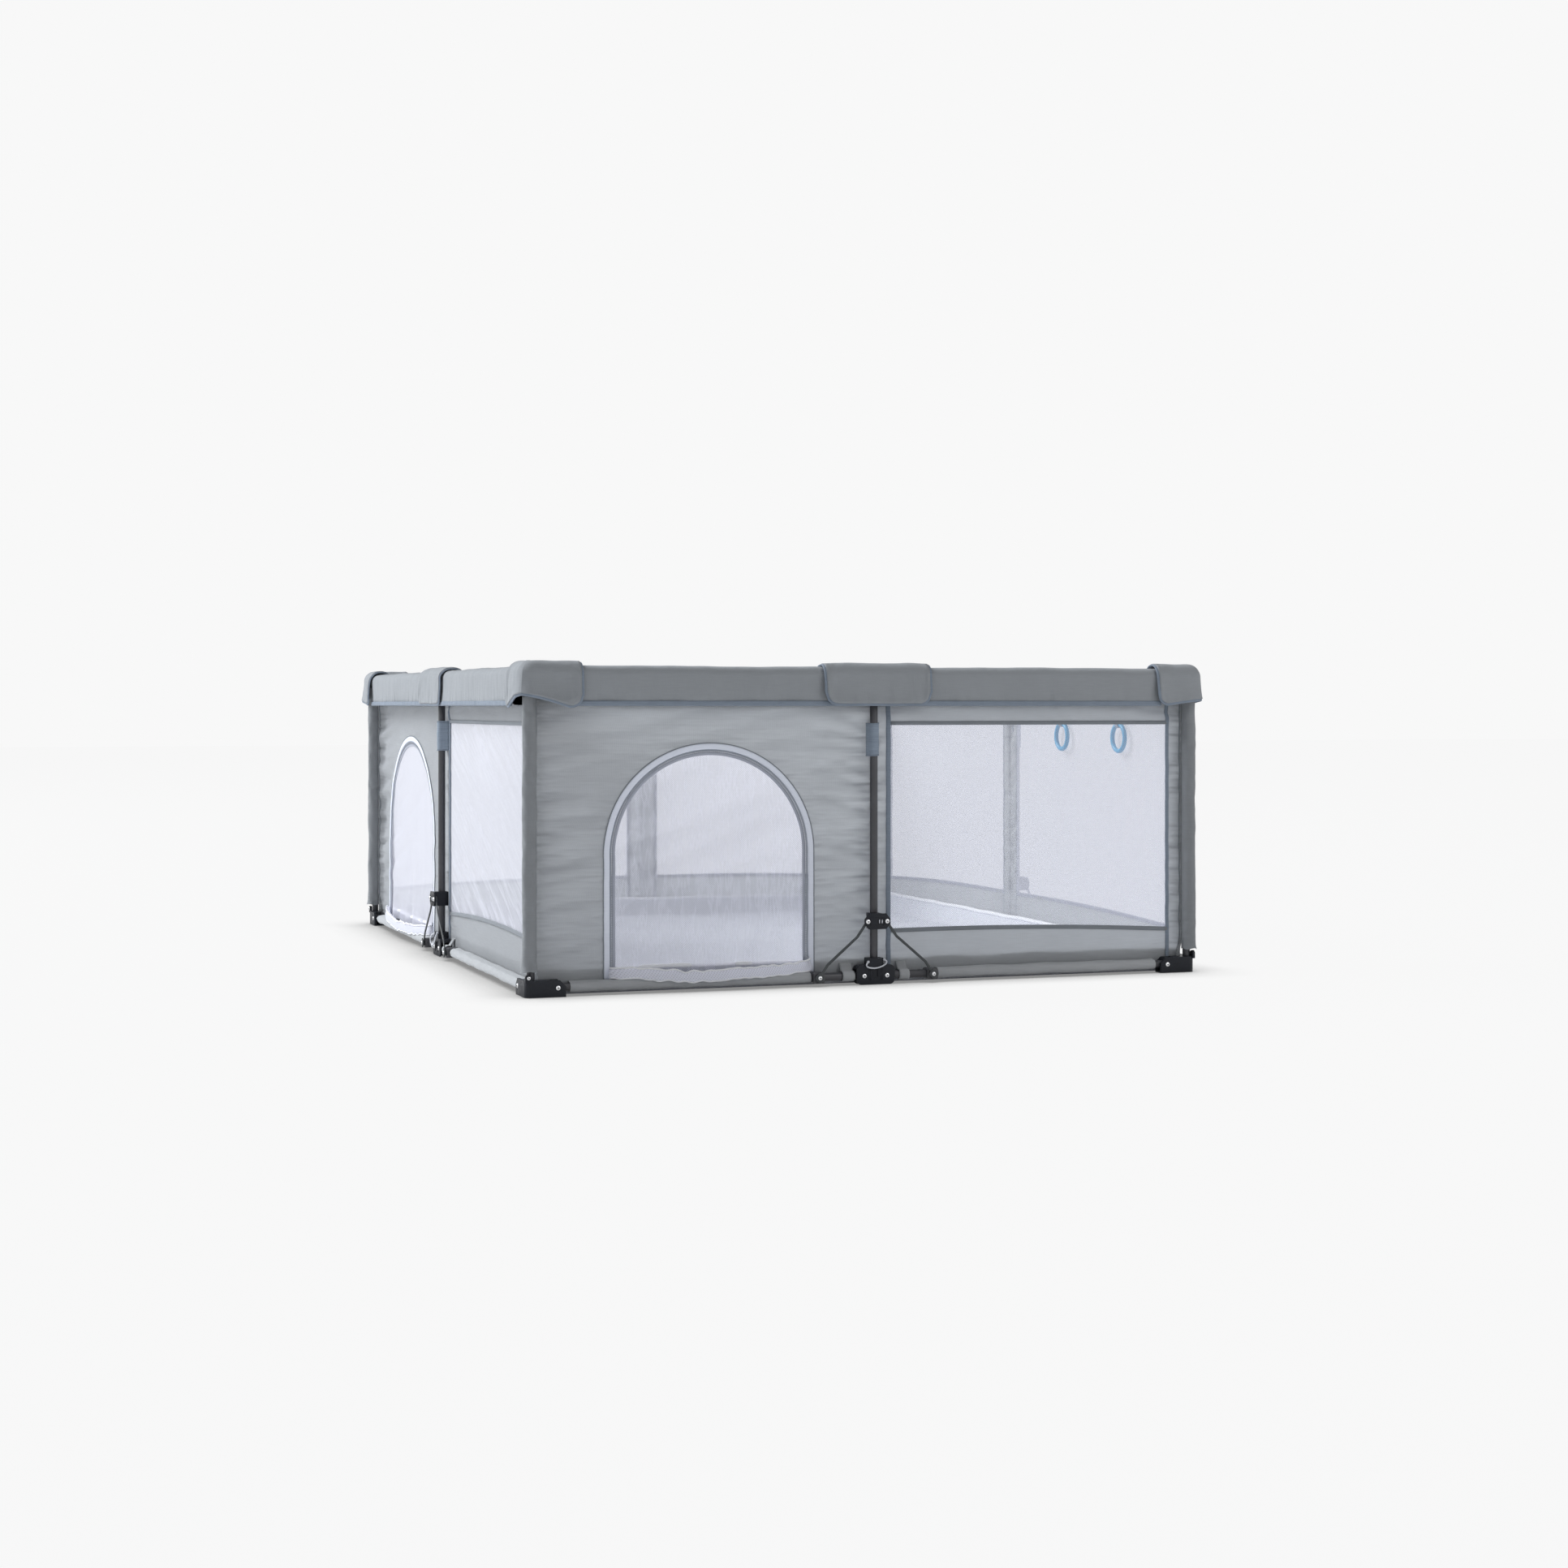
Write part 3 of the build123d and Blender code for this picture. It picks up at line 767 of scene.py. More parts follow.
def follow(made, body, weights):
    """The points move with a body by their weights, on top of the body that the piece rides on."""
    group = made.vertex_groups.new(name="with_" + body)
    for index, weight in enumerate(weights):
        if weight > NO_WEIGHT:
            group.add([index], min(1.0, weight), "REPLACE")
    hook = made.modifiers.new("hook_" + body, "HOOK")
    hook.object = frame["bodies"][body]
    hook.vertex_group = group.name


def ride_wall(made, side, end):
    """The piece spans from a corner post to the middle post of its side."""
    half = SIDES[side][1]
    to_side = side_matrix(side).inverted()
    weights = []
    for vertex in made.data.vertices:
        from_mid = abs((to_side @ vertex.co).x)
        run = (half - CORNER_PIVOT - from_mid) / (half - CORNER_PIVOT - MID_PIVOT)
        weights.append(max(0.0, min(1.0, run)))
    follow(made, "mid_" + side, weights)
    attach(made, "corner_" + CORNER_OF[side, end])
    return made


print("cloth shears from", MID_PIVOT, "m off a middle post to", CORNER_PIVOT, "m off a corner post")

# %% [markdown]
# Each side is two halves of cloth, one either side of its middle post. Six of the halves have a window,
# nearly as large as they are. The other two have a door with an arched top, nearly as wide. The outlines
# could be curve objects cut out by a boolean. Written as functions of the distance d from the middle post
# and the height z, they also tell every tape, net and zip where to run.

# %% Outlines of the windows
WINDOW_TOP = 0.536
WINDOW_FOOT = 0.107
WINDOW_SIDE = {"front": 0.043, "right": 0.042, "back": 0.042, "left": 0.026}
WINDOW_CORNER = 0.039


def window_foot(side, end, d):
    """The window's lower edge bows up a little in the middle of its half."""
    half = SIDES[side][1]
    share = min(1.0, d / half)
    if (side, end) == ("left", "front"):
        return 0.096 + 0.009 * share + 0.012 * sin(pi * share)
    return WINDOW_FOOT - 0.017 * share + 0.007 * sin(pi * share)


def inside_window(side, end, d, z):
    half = SIDES[side][1]
    return WINDOW_SIDE[side] < d < half - WINDOW_CORNER and window_foot(side, end, d) < z < WINDOW_TOP


print("windows from", WINDOW_FOOT, "to", WINDOW_TOP, "m high")

# %% Outlines of the doors
DOORS = {
    ("front", "left"): {"centre": 0.348, "width": 0.445, "crown": 0.222, "top": 0.497, "foot": 0.026},
    ("left", "back"): {"centre": 0.450, "width": 0.590, "crown": 0.250, "top": 0.497, "foot": 0.026},
}


def door_arch(door, inset=0.0):
    """Half the width, the height of the arch, and the height where it springs from the legs."""
    half, crown = door["width"] / 2 - inset, door["crown"] - inset
    return half, crown, door["top"] - inset - crown


def door_line(door, inset=0.0, step=0.008):
    """(d, z) points up one leg, over the arch and down the other."""
    half, crown, spring = door_arch(door, inset)
    legs = spaced(door["foot"], spring, step=step)
    left = [(door["centre"] - half, z) for z in legs]
    count = max(12, round(pi * (half + crown) / 2 / step))
    turns = [pi * i / count for i in range(1, count)]
    arch = [(door["centre"] - half * cos(a), spring + crown * sin(a)) for a in turns]
    right = [(door["centre"] + half, z) for z in reversed(legs)]
    return left + arch + right


def inside_door(door, d, z, inset=0.0):
    half, crown, spring = door_arch(door, inset)
    if not door["foot"] < z < door["top"] or abs(d - door["centre"]) > half:
        return False
    return z < spring or ((d - door["centre"]) / half) ** 2 + ((z - spring) / crown) ** 2 < 1


for (side, end), door in DOORS.items():
    print("the door in", side, end, "is", door["width"], "m wide and", len(door_line(door)), "points round")

# %% [markdown]
# The walls are thin cloth pulled between the posts. Near a post the seam gathers it into short level
# puckers, and in between it bellies slightly. Sculpting would fix that to one panel. One function of noise
# gives it to all, and so the bindings and the zips lie on the same surface as the cloth under them.

# %% Noise and easing
SEEDS = {"front": 3.1, "right": 17.7, "back": 29.3, "left": 41.9}


def seed_of(side, end):
    """Each half of a side crumples in its own way."""
    return SEEDS[side] + (0 if end == SIDES[side][3][0] else 5.3)


def rise(value, start, span):
    """None up to start, one from start + span on, and evenly between."""
    return min(1.0, max(0.0, (value - start) / span))


def fall(value, stop, span):
    """One up to stop - span, none from stop on, and evenly between."""
    return min(1.0, max(0.0, (stop - value) / span))


def wrinkle(u, v, seed):
    return noise.noise(Vector((u, v, seed)))


def crease(u, v, seed):
    """Noise with narrow ridges and wide hollows, as gathered cloth has."""
    value = wrinkle(u, v, seed)
    return 0.5 - 1.6 * abs(value) if value > -0.55 else -0.4


print("noise ready: one crease is", round(crease(0.1, 0.2, 0.3), 3))

# %% Wall relief
WALL_Y = 0.0158
WALL_END = 0.0065  # from the corner post's axis, where the sleeve takes over
WALL_WRAP = 0.0110  # how far the cloth comes forward to meet the sleeve there
WALL_FOOT = 0.014
WALL_HEAD = 0.588
GATHER_REACH = 0.090


def taut(side, end, d, z):
    """Less than one beside a window or a zip, where the binding keeps the cloth flat."""
    if (side, end) in DOORS:
        door = DOORS[side, end]
        half, crown, spring = door_arch(door)
        ring = hypot((d - door["centre"]) / half, max(0.0, z - spring) / crown)
        return 0.22 + 0.78 * min(1.0, abs(ring - 0.98) * door["width"] / 2 / 0.045)
    inner, outer = WINDOW_SIDE[side] - 0.006, SIDES[side][1] - WINDOW_CORNER
    beside = max(inner - d, d - outer, window_foot(side, end, d) - z, z - WINDOW_TOP)
    return 0.14 + 0.86 * rise(beside, 0.0, 0.035)


def wall_relief(side, end, d, z):
    """How far the wall stands inwards from its plane, d from the middle post, at a height z."""
    half = SIDES[side][1]
    seed = seed_of(side, end)
    from_corner = half - d
    near_corner = exp(-max(0.0, from_corner - 0.012) / GATHER_REACH)
    deep = crease(d * 2.5, z * 27 + d * 5, seed) * 0.0150
    fine = wrinkle(d * 8, z * 64, seed + 7) * 0.0070
    puckers = near_corner * (deep + fine)
    near_mid = exp(-d / GATHER_REACH)
    deep = crease(d * 3, z * 25 - d * 9, seed + 11) * 0.0140
    fine = wrinkle(d * 9, z * 60, seed + 3) * 0.0064
    puckers += near_mid * (deep + fine)
    spread = 0.3 + exp(-from_corner / 0.2) + 0.6 * exp(-d / 0.2)
    puckers += crease(d * 1.8, z * 13 + d * 4, seed + 15) * 0.0075 * spread
    belly = 0.0035 * sin(pi * min(1.0, d / half)) * sin(pi * rise(z, 0.0, 0.6))
    slack = wrinkle(d * 4.5, z * 5.5, seed + 2) * 0.0032
    held = rise(z, 0.062, 0.05) * fall(z, 0.58, 0.04)
    low = 0.10 + 0.90 * rise(z, 0.056, 0.05)
    ends_held = min(1.0, max(0.0, from_corner - WALL_END - 0.001) / 0.016, d / 0.018)
    return (puckers * low + (belly + slack) * held) * ends_held * taut(side, end, d, z)


def wall_point(side, end, d, z, lift=0.0):
    """A point on the wall in the side's own frame. lift is how far outwards it stands off the cloth."""
    from_end = SIDES[side][1] - d - WALL_END
    wrapped = max(0.0, 1 - from_end / 0.034) ** 2 * rise(z, 0.046, 0.03)
    y = WALL_Y + wall_relief(side, end, d, z) - WALL_WRAP * wrapped - lift
    return Vector((sign_of(side, end) * d, y, z))


heights = spaced(WALL_FOOT, WALL_HEAD, step=0.01)
reliefs = [wall_relief("right", "front", 0.02, z) for z in heights]
print("the puckers beside a middle post span", round((max(reliefs) - min(reliefs)) * 1000, 1), "mm")

# %% [markdown]
# A wall panel is the thin grey cloth of one half, with the hole of its window or door. A boolean would
# cut the hole cleanly, but leave long thin faces that shade badly. Here the faces of the grid inside the
# outline are left out. The edge stays a little rough, because a tape covers it.

# %% Wall panels
WALL_THICK = 0.0008
EASE = 1.016  # the cloth is cut a little over size, and the slack is its crumple


def gather_share(side, end, d, z):
    """How strongly a seam nearby gathers the cloth, from none to one."""
    near = exp(-max(0.0, SIDES[side][1] - d - 0.015) / 0.045) + 0.9 * exp(-d / 0.050)
    if (side, end) in DOORS:
        door = DOORS[side, end]
        half, crown, spring = door_arch(door)
        ring = hypot((d - door["centre"]) / half, max(0.0, z - spring) / crown)
        near += 0.5 * exp(-max(0.0, ring - 1.0) * half / 0.035)
    return near


def drop_loose_points(made):
    """Removes the points that the hole has left without a face."""
    clean = bmesh.new()
    clean.from_mesh(made.data)
    bmesh.ops.delete(clean, geom=[v for v in clean.verts if not v.link_faces], context="VERTS")
    clean.to_mesh(made.data)
    clean.free()


def wall_panel(side, end):
    """The cloth of half a side, with its hole."""
    half = SIDES[side][1]
    door = DOORS.get((side, end))
    across = spaced(0.0, WINDOW_SIDE[side], half - WINDOW_CORNER, half - WALL_END, step=0.007)
    up = spaced(WALL_FOOT, WINDOW_TOP, WALL_HEAD, step=0.006)
    rows = [[wall_point(side, end, d, z) for d in across] for z in up]

    def keep(i, j):
        d, z = (across[j] + across[j + 1]) / 2, (up[i] + up[i + 1]) / 2
        if door:
            return not inside_door(door, d, z, 0.010)
        return not inside_window(side, end, d, z)

    made = grid_object(f"wall_cloth_{side}_{end}", rows, wall_cloth, keep)
    cut = sum(
        (across[j + 1] - across[j]) * (up[i + 1] - up[i])
        for i in range(len(up) - 1)
        for j in range(len(across) - 1)
        if keep(i, j)
    )
    drop_loose_points(made)
    mark_gathers(made, lambda p: gather_share(side, end, abs(p.x), p.z))
    place_mesh(made, side_matrix(side))
    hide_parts("wall_fabric_" + CORNER_OF[side, end])
    ride_wall(made, side, end)
    thicken(made, WALL_THICK)
    flat, cut = (EASE * (across[-1] - across[0]), EASE * (up[-1] - up[0])), EASE**2 * cut
    print(f"{made.name}: cut {flat[0]:.3f} x {flat[1]:.3f} m, cloth {cut:.3f} m2")
    return made


for side, end in CORNER_OF:
    wall_panel(side, end)

# %% [markdown]
# A window's net is sewn behind its hole. Net is slack, and where it is pulled it falls into slanting
# folds. A cloth run could find folds by itself, but where they fall is hard to choose. Noise that is
# stretched along the pull draws them where they are wanted, fading towards the seams.

# %% Window nets
NET_SEAM = 0.004  # how far the net goes under the cloth
NET_ROWS = 60


def net_fold(side, end, d, z, s, pulled):
    """How far the net stands inwards, s of the way up the window."""
    seed = seed_of(side, end) + 50
    across_pull, along_pull = 22 * d + 46 * z, 2.6 * d - 1.3 * z
    low_pull = wrinkle(across_pull, along_pull, seed) * 0.0060 * exp(-s / 0.25)
    top_pull = wrinkle(across_pull, along_pull, seed + 4) * 0.0030 * exp(-(1 - s) / 0.2)
    soft = wrinkle(d * 5, z * 4, seed + 9) * 0.003
    return pulled * (low_pull + top_pull) + soft


def window_net_panel(side, end):
    """The net of a window, with the slanting pulls of a slack net in the near left half."""
    half = SIDES[side][1]
    is_pulled = (side, end) == ("left", "front")
    near, far = WINDOW_SIDE[side] - NET_SEAM, half - WINDOW_CORNER + NET_SEAM
    across = spaced(near, far, step=0.008)
    rows = []
    for i in range(NET_ROWS + 1):
        s = i / NET_ROWS
        row = []
        for d in across:
            low, high = window_foot(side, end, d) - NET_SEAM, WINDOW_TOP + NET_SEAM
            z = low + (high - low) * s
            held = min(1.0, s / 0.04, (1 - s) / 0.06)
            held *= min(1.0, (d - WINDOW_SIDE[side] + NET_SEAM) / 0.02, (far - d) / 0.02)
            depth = held * net_fold(side, end, d, z, s, 1.0 if is_pulled else 0.35)
            row.append(Vector((sign_of(side, end) * d, WALL_Y + 0.0012 + depth, z)))
        rows.append(row)
    net = pulled_net if is_pulled else front_net if side == "front" else window_net
    made = grid_object(f"window_net_{side}_{end}", rows, net)
    place_mesh(made, side_matrix(side))
    ride_wall(made, side, end)
    return made


WINDOWS = [half_side for half_side in CORNER_OF if half_side not in DOORS]
for side, end in WINDOWS:
    window_net_panel(side, end)
print(len(WINDOWS), "window nets")

# %% [markdown]
# Tapes bind a window's four edges, and a thin dark piping runs up each corner seam beside the sleeve; it is
# the seam, and its dark colour is also painted shade for the crease between sleeve and wall. A bevelled curve
# would be round and would cut through the puckers. So each tape is an oval swept along points of the wall
# itself, and thick enough to show on both faces of the cloth.

# %% Bindings and seams


def tape_on_wall(side, end, name, line, half_width, material, lift=0.001, half_thick=0.0009, **options):
    """A tape that lies on the outside of the wall along (d, z) points, and through to its inside."""
    points = [wall_point(side, end, d, z, lift) for d, z in line]
    full_name = f"{name}_{side}_{end}"
    made = sweep_object(full_name, points, SIDE_OUT, half_width, half_thick, material, **options)
    place_mesh(made, side_matrix(side))
    ride_wall(made, side, end)
    return made


def corner_seam(side, end):
    # a real seam, whose dark piping also paints the shade in the crease beside the sleeve
    seam = [(SIDES[side][1] - WALL_END - 0.0062, z) for z in spaced(0.052, 0.586, step=0.012)]
    tape_on_wall(side, end, "corner_seam", seam, 0.0013, piping_cloth, lift=0.0012, half_thick=0.0012)


def window_bindings(side, end):
    """Piping along the head and the foot, and a flat binding down each side."""
    near, far = WINDOW_SIDE[side], SIDES[side][1] - WINDOW_CORNER
    level = spaced(near, far, step=0.012)
    upright = spaced(WALL_FOOT + 0.004, WALL_HEAD - 0.006, step=0.012)
    head = [(d, WINDOW_TOP) for d in level]
    foot = [(d, window_foot(side, end, d)) for d in level]
    tapes = (
        ("window_head_piping", head, 0.0040, 0.0016, piping_cloth),
        ("window_foot_piping", foot, 0.0045, 0.0018, piping_cloth),
        ("mid_binding", [(near - 0.005, z) for z in upright], 0.0052, 0.0016, binding_cloth),
        ("corner_binding", [(far, z) for z in upright], 0.0042, 0.0016, binding_cloth),
    )
    for name, line, half_width, half_thick, cloth in tapes:
        tape_on_wall(side, end, name, line, half_width, cloth, lift=0.0018, half_thick=half_thick)
    return len(tapes)


for side, end in CORNER_OF:
    corner_seam(side, end)
bound = sum(window_bindings(side, end) for side, end in WINDOWS)
print(len(CORNER_OF), "corner seams and", bound, "window bindings")

# %% [markdown]
# A door is a slack net on a zip, which swings out on its hem. A cloth run could hang it, pinned along its
# zip. Its few folds are simple enough to draw, so it is one panel whose rows fan out under the arch, with
# soft folds low down, where it is gathered into the hem. It rides the door's body.

# %% Door nets
NET_INSET = 0.0222
DOOR_ROWS = 70


def ride_door(made, side):
    """Door pieces turn with the door."""
    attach(made, "door_" + side)
    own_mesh(made)
    return made


def door_depth(side, end, d, z, s, a):
    """How far the net stands inwards, s of the way up and at an angle a round its arch."""
    seed = seed_of(side, end) + 80
    held = min(1.0, (1 - s) / 0.08) * min(1.0, sin(a) / 0.12)
    sway = 3 * wrinkle(d * 4, z * 3, seed)
    folds = wrinkle(d * 26 + sway, z * 2.2, seed) * 0.010 * exp(-s / 0.20)
    sag = wrinkle((d + z * 0.5) * 9, z * 5, seed + 5) * 0.0040
    return wall_relief(side, end, d, z) + held * (folds + sag + 0.004 * sin(pi * s))


def door_net_panel(side, end, door):
    """A slack net: its lower part hangs in soft folds that gather into the hem."""
    half, crown, spring = door_arch(door, NET_INSET)
    low = door["foot"] + 0.004
    columns = round(door["width"] / 0.006)
    rows = []
    for i in range(DOOR_ROWS + 1):
        s = i / DOOR_ROWS
        row = []
        for j in range(columns + 1):
            a = pi * j / columns
            d = door["centre"] - half * cos(a)
            high = spring + crown * sin(a)
            z = low + (high - low) * s
            depth = door_depth(side, end, d, z, s, a)
            row.append(Vector((sign_of(side, end) * d, WALL_Y + 0.0008 + depth, z)))
        rows.append(row)
    made = grid_object(f"door_net_{side}", rows, long_door_net if side == "left" else door_net)
    place_mesh(made, side_matrix(side))
    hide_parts("door_" + side)
    ride_door(made, side)
    held_by, hem = [f"wall_cloth_{side}_{end}", f"bottom_rail_{side}_{end}"], gathered_hem(side, end, door)
    return made


print("door nets of", DOOR_ROWS, "rows ready")

# %% [markdown]
# The hem of a door is its net bunched into a soft, uneven roll, with a white edge above and below. It could
# be the net's last rows, pushed together. A sweep whose width wanders with noise gives the same lumps
# with fewer faces, and it rides the rail.

# %% Gathered hems
gather_white = net_material("gathered_hem", (0.92, 0.925, 0.98), 0.80, hole=0.0026)


def gathered_hem(side, end, door):
    """The net's bottom edge, bunched into a soft uneven roll."""
    seed = seed_of(side, end) + 90
    half = door["width"] / 2 - 0.010
    line, widths = [], []
    for d in spaced(door["centre"] - half, door["centre"] + half, step=0.005):
        lump = wrinkle(d * 38, 0, seed)
        mid = max(0.0, 1 - ((d - door["centre"]) / half) ** 2)
        z = door["foot"] + 0.017 - 0.011 * mid + 0.003 * lump + 0.005 * wrinkle(d * 9, 5, seed)
        y = WALL_Y - 0.006 - 0.0235 * mid**0.6 + 0.0012 * lump
        line.append(Vector((sign_of(side, end) * d, y, z)))
        widths.append(0.0100 + 0.0035 * wrinkle(d * 55, 2, seed))
    tilted = Vector((0, -1, 0.25))
    body = sweep_object("body", line, tilted, lambda i: widths[i], 0.0034, gather_white, sides=14)
    edges = []
    for up in (-1, 1):
        cord = [p + Vector((0, -0.0022, up * (w + 0.0004))) for p, w in zip(line, widths)]
        edges.append(sweep_object("edge", cord, SIDE_OUT, 0.0017, 0.0015, edge_white, sides=8))
    made = join_objects(f"door_hem_{side}", [body] + edges)
    place_mesh(made, side_matrix(side))
    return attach(made, f"bottom_rail_{side}_{end}")


for (side, end), door in DOORS.items():
    door_net_panel(side, end, door)

# %% [markdown]
# Round each door, from the wall inwards, come a thin piping, a pale tape, the wall's zip tape, the teeth,
# and the zip tape of the door itself. A zip could be a texture on one band. Its teeth catch the light one
# by one, though, so each is a small block, set across the line at the zip's own pitch.

# %% Zip teeth
ZIP_PITCH = 0.0030
TOOTH = Vector((0.0009, 0.0024, 0.0011))  # half its length along the zip, half its width, its height
zip_plastic = hard_material("zip_plastic", (0.30, 0.32, 0.37), 0.45)


def zip_teeth(name, side, end, line, lift):
    """Little moulded teeth, each a block set across the line."""
    place, points, faces = side_matrix(side), [], []
    run, at = 0.0, 0.0
    for (d0, z0), (d1, z1) in zip(line, line[1:]):
        length = sqrt((d1 - d0) ** 2 + (z1 - z0) ** 2)
        while at < run + length:
            share = (at - run) / length
            d, z = d0 + (d1 - d0) * share, z0 + (z1 - z0) * share
            middle = wall_point(side, end, d, z, lift)
            along = Vector((sign_of(side, end) * (d1 - d0), 0, z1 - z0)).normalized()
            across = along.cross(SIDE_OUT)
            first = len(points)
            for u in (-TOOTH.x, TOOTH.x):
                for v in (-TOOTH.y, TOOTH.y):
                    for w in (0.0, TOOTH.z):
                        points.append(place @ (middle + along * u + across * v + Vector((0, -w, 0))))
            for quad in ((0, 1, 3, 2), (4, 6, 7, 5), (0, 4, 5, 1), (2, 3, 7, 6), (0, 2, 6, 4), (1, 5, 7, 3)):
                faces.append(tuple(first + q for q in quad))
            at += ZIP_PITCH
        run += length
    return add_object(name, points, faces, zip_plastic, smooth=False)


for (side, end), door in DOORS.items():
    teeth = zip_teeth(f"door_teeth_{side}", side, end, door_line(door, 0.0168), 0.0012)
    ride_door(teeth, side)
    print(teeth.name, "has", len(teeth.data.polygons) // 6, "teeth")

# %% Zip tapes and sliders


def zip_pull(side, end, door):
    """The zip's slider with its tab, at the foot of the arch's leg near the middle post."""
    d, z = door["centre"] - door["width"] / 2 + 0.0168, door["foot"] + 0.034
    top = wall_point(side, end, d, z, 0.003)
    down = Vector((0, 0, -0.011))
    body = straight_bar("zip_body", top, down, 0.0045, 0.0022, zip_plastic, SIDE_OUT, sides=12)
    start = top - Vector((0, 0.003, 0.006))
    hang = Vector((0, -0.002, -0.012))
    tab = straight_bar("zip_tab", start, hang, 0.0030, 0.0009, zip_plastic, SIDE_OUT)
    made = join_objects(f"zip_slider_{side}", [body, tab])
    place_mesh(made, side_matrix(side))
    return ride_wall(made, side, end)


def zip_tapes(side, end, door):
    """The piping and tapes that stay on the wall, then the band that goes with the door."""
    tapes = (
        ("door_piping", 0.0, 0.0011, piping_cloth, 0.0014, 0.0012),
        ("door_edge_tape", 0.0068, 0.0060, pale_tape, 0.0013, 0.0012),
        ("door_zip_fixed", 0.0146, 0.0019, zip_cloth, 0.0008, 0.0009),
    )
    for name, inset, half_width, cloth, lift, thick in tapes:
        line = door_line(door, inset)
        tape_on_wall(side, end, name, line, half_width, cloth, lift=lift, half_thick=thick)
    band = [wall_point(side, end, d, z, 0.0004) for d, z in door_line(door, 0.0212)]
    made = sweep_object(f"door_zip_band_{side}", band, SIDE_OUT, 0.0034, 0.0009, band_cloth)
    ride_door(place_mesh(made, side_matrix(side)), side)


for (side, end), door in DOORS.items():
    zip_tapes(side, end, door)
    zip_pull(side, end, door)
print(len(DOORS), "doors zipped")

# %% [markdown]
# A sleeve joins the cloth to the steel. Round a post it is a tube that comes to a point where the two walls
# meet. Sewing two sheets over a tube would need a cloth run. The section of such a sleeve is known: round
# on one side, two straight flanks on the other. So rings of that section are stacked up the post.

# %% Section of a sleeve
FLANK = 0.9  # the turn either side of the tip over which the flanks leave the ring


def pointed_ring(radius, tip, bulge, sides=28):
    """A ring round a tube that runs out to a tip, a 2-D point. bulge(angle) widens its round part."""
    angle = atan2(tip[1], tip[0])
    reach = sqrt(tip[0] ** 2 + tip[1] ** 2)
    ring = []
    for k in range(sides):
        a = angle + 2 * pi * k / sides
        off = abs(((2 * pi * k / sides) + pi) % (2 * pi) - pi)
        r = radius + bulge(a)
        if off < FLANK:
            r = radius + (reach - radius) * (1 - off / FLANK) ** 1.6
        ring.append((r * cos(a), r * sin(a)))
    return ring


print("a sleeve's section leaves the round", round(FLANK * 180 / pi), "degrees off its point")

# %% Sleeves on the corner posts
SLEEVE_LOW, SLEEVE_HIGH = 0.050, 0.590
SLEEVE_ROWS = 90
SLEEVE_R, SLEEVE_TIP, SLEEVE_OUT = 0.0138, 0.0118, 0.0040


def post_sleeve(corner):
    seed = len(corner) + CORNERS[corner][0]
    rows = []
    for i in range(SLEEVE_ROWS + 1):
        s = i / SLEEVE_ROWS
        z = SLEEVE_LOW + (SLEEVE_HIGH - SLEEVE_LOW) * s
        flare = 0.0040 * exp(-(z - SLEEVE_LOW) / 0.012)

        def bulge(a, z=z, flare=flare):
            twist = wrinkle(cos(a) * 0.9, sin(a) * 0.9 + z * 16, seed) * 0.0020
            twist += wrinkle(cos(a) * 1.6 + z * 34, sin(a) * 1.6 - z * 30, seed + 8) * 0.0010
            return flare + twist

        ring = pointed_ring(SLEEVE_R, (SLEEVE_TIP, SLEEVE_TIP), bulge)
        row = []
        for x, y in ring:
            x, y = x - SLEEVE_OUT, y - SLEEVE_OUT
            row.append(Vector((x, y, z + 0.004 * wrinkle(x * 60, y * 60, seed) * exp(-s * 20))))
        rows.append(row)
    made = grid_object("post_sleeve_" + corner, rows, sleeve_cloth, closed=True)
    mark_gathers(made, lambda p: 0.6)
    place_mesh(made, corner_matrix(corner))
    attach(made, "corner_" + corner)


for corner in CORNERS:
    post_sleeve(corner)
print(len(CORNERS), "post sleeves,", round(SLEEVE_HIGH - SLEEVE_LOW, 3), "m long")

# %% [markdown]
# Along the bottom, the wall's hem is a sleeve round the rail, with its point upwards and inwards to the
# wall. Towards the middle post the rail is bare, and one loop of tape ties the hem to it. Shrinkwrapped
# cloth would lose that point. Both are rings again, strung along the rail, and they ride the rail's body.

# %% Sleeves on the bottom rails
SLEEVE_FROM_CORNER = 0.078
SLEEVE_FROM_MID = 0.140
RAIL_SLEEVE_R = 0.0099


def rail_sleeve(side, end):
    half = SIDES[side][1]
    seed = seed_of(side, end) + 20
    rows = []
    for d in spaced(SLEEVE_FROM_MID, half - SLEEVE_FROM_CORNER, step=0.006):

        def bulge(a, d=d):
            soft = wrinkle(d * 26, cos(a) * 1.2 + sin(a), seed) * 0.0016
            return soft + wrinkle(d * 70, sin(a) * 2, seed + 3) * 0.0007

        tip_z = 0.0105 + 0.003 * wrinkle(d * 14, 1.0, seed)
        ring = pointed_ring(RAIL_SLEEVE_R, (WALL_Y, tip_z), bulge, sides=24)
        rows.append([Vector((sign_of(side, end) * d, y, RAIL_LOW + z)) for y, z in ring])
    made = grid_object(f"rail_sleeve_{side}_{end}", rows, hem_cloth, closed=True)
    place_mesh(made, side_matrix(side))
    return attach(made, f"bottom_rail_{side}_{end}")


for side, end in CORNER_OF:
    rail_sleeve(side, end)
print(len(CORNER_OF), "rail sleeves")

# %% Loops on the bottom rails
LOOP_R = 0.0102
NEAR_LOOP, FAR_LOOP = (0.058, 0.026), (0.065, 0.022)  # distance from the middle post, and width


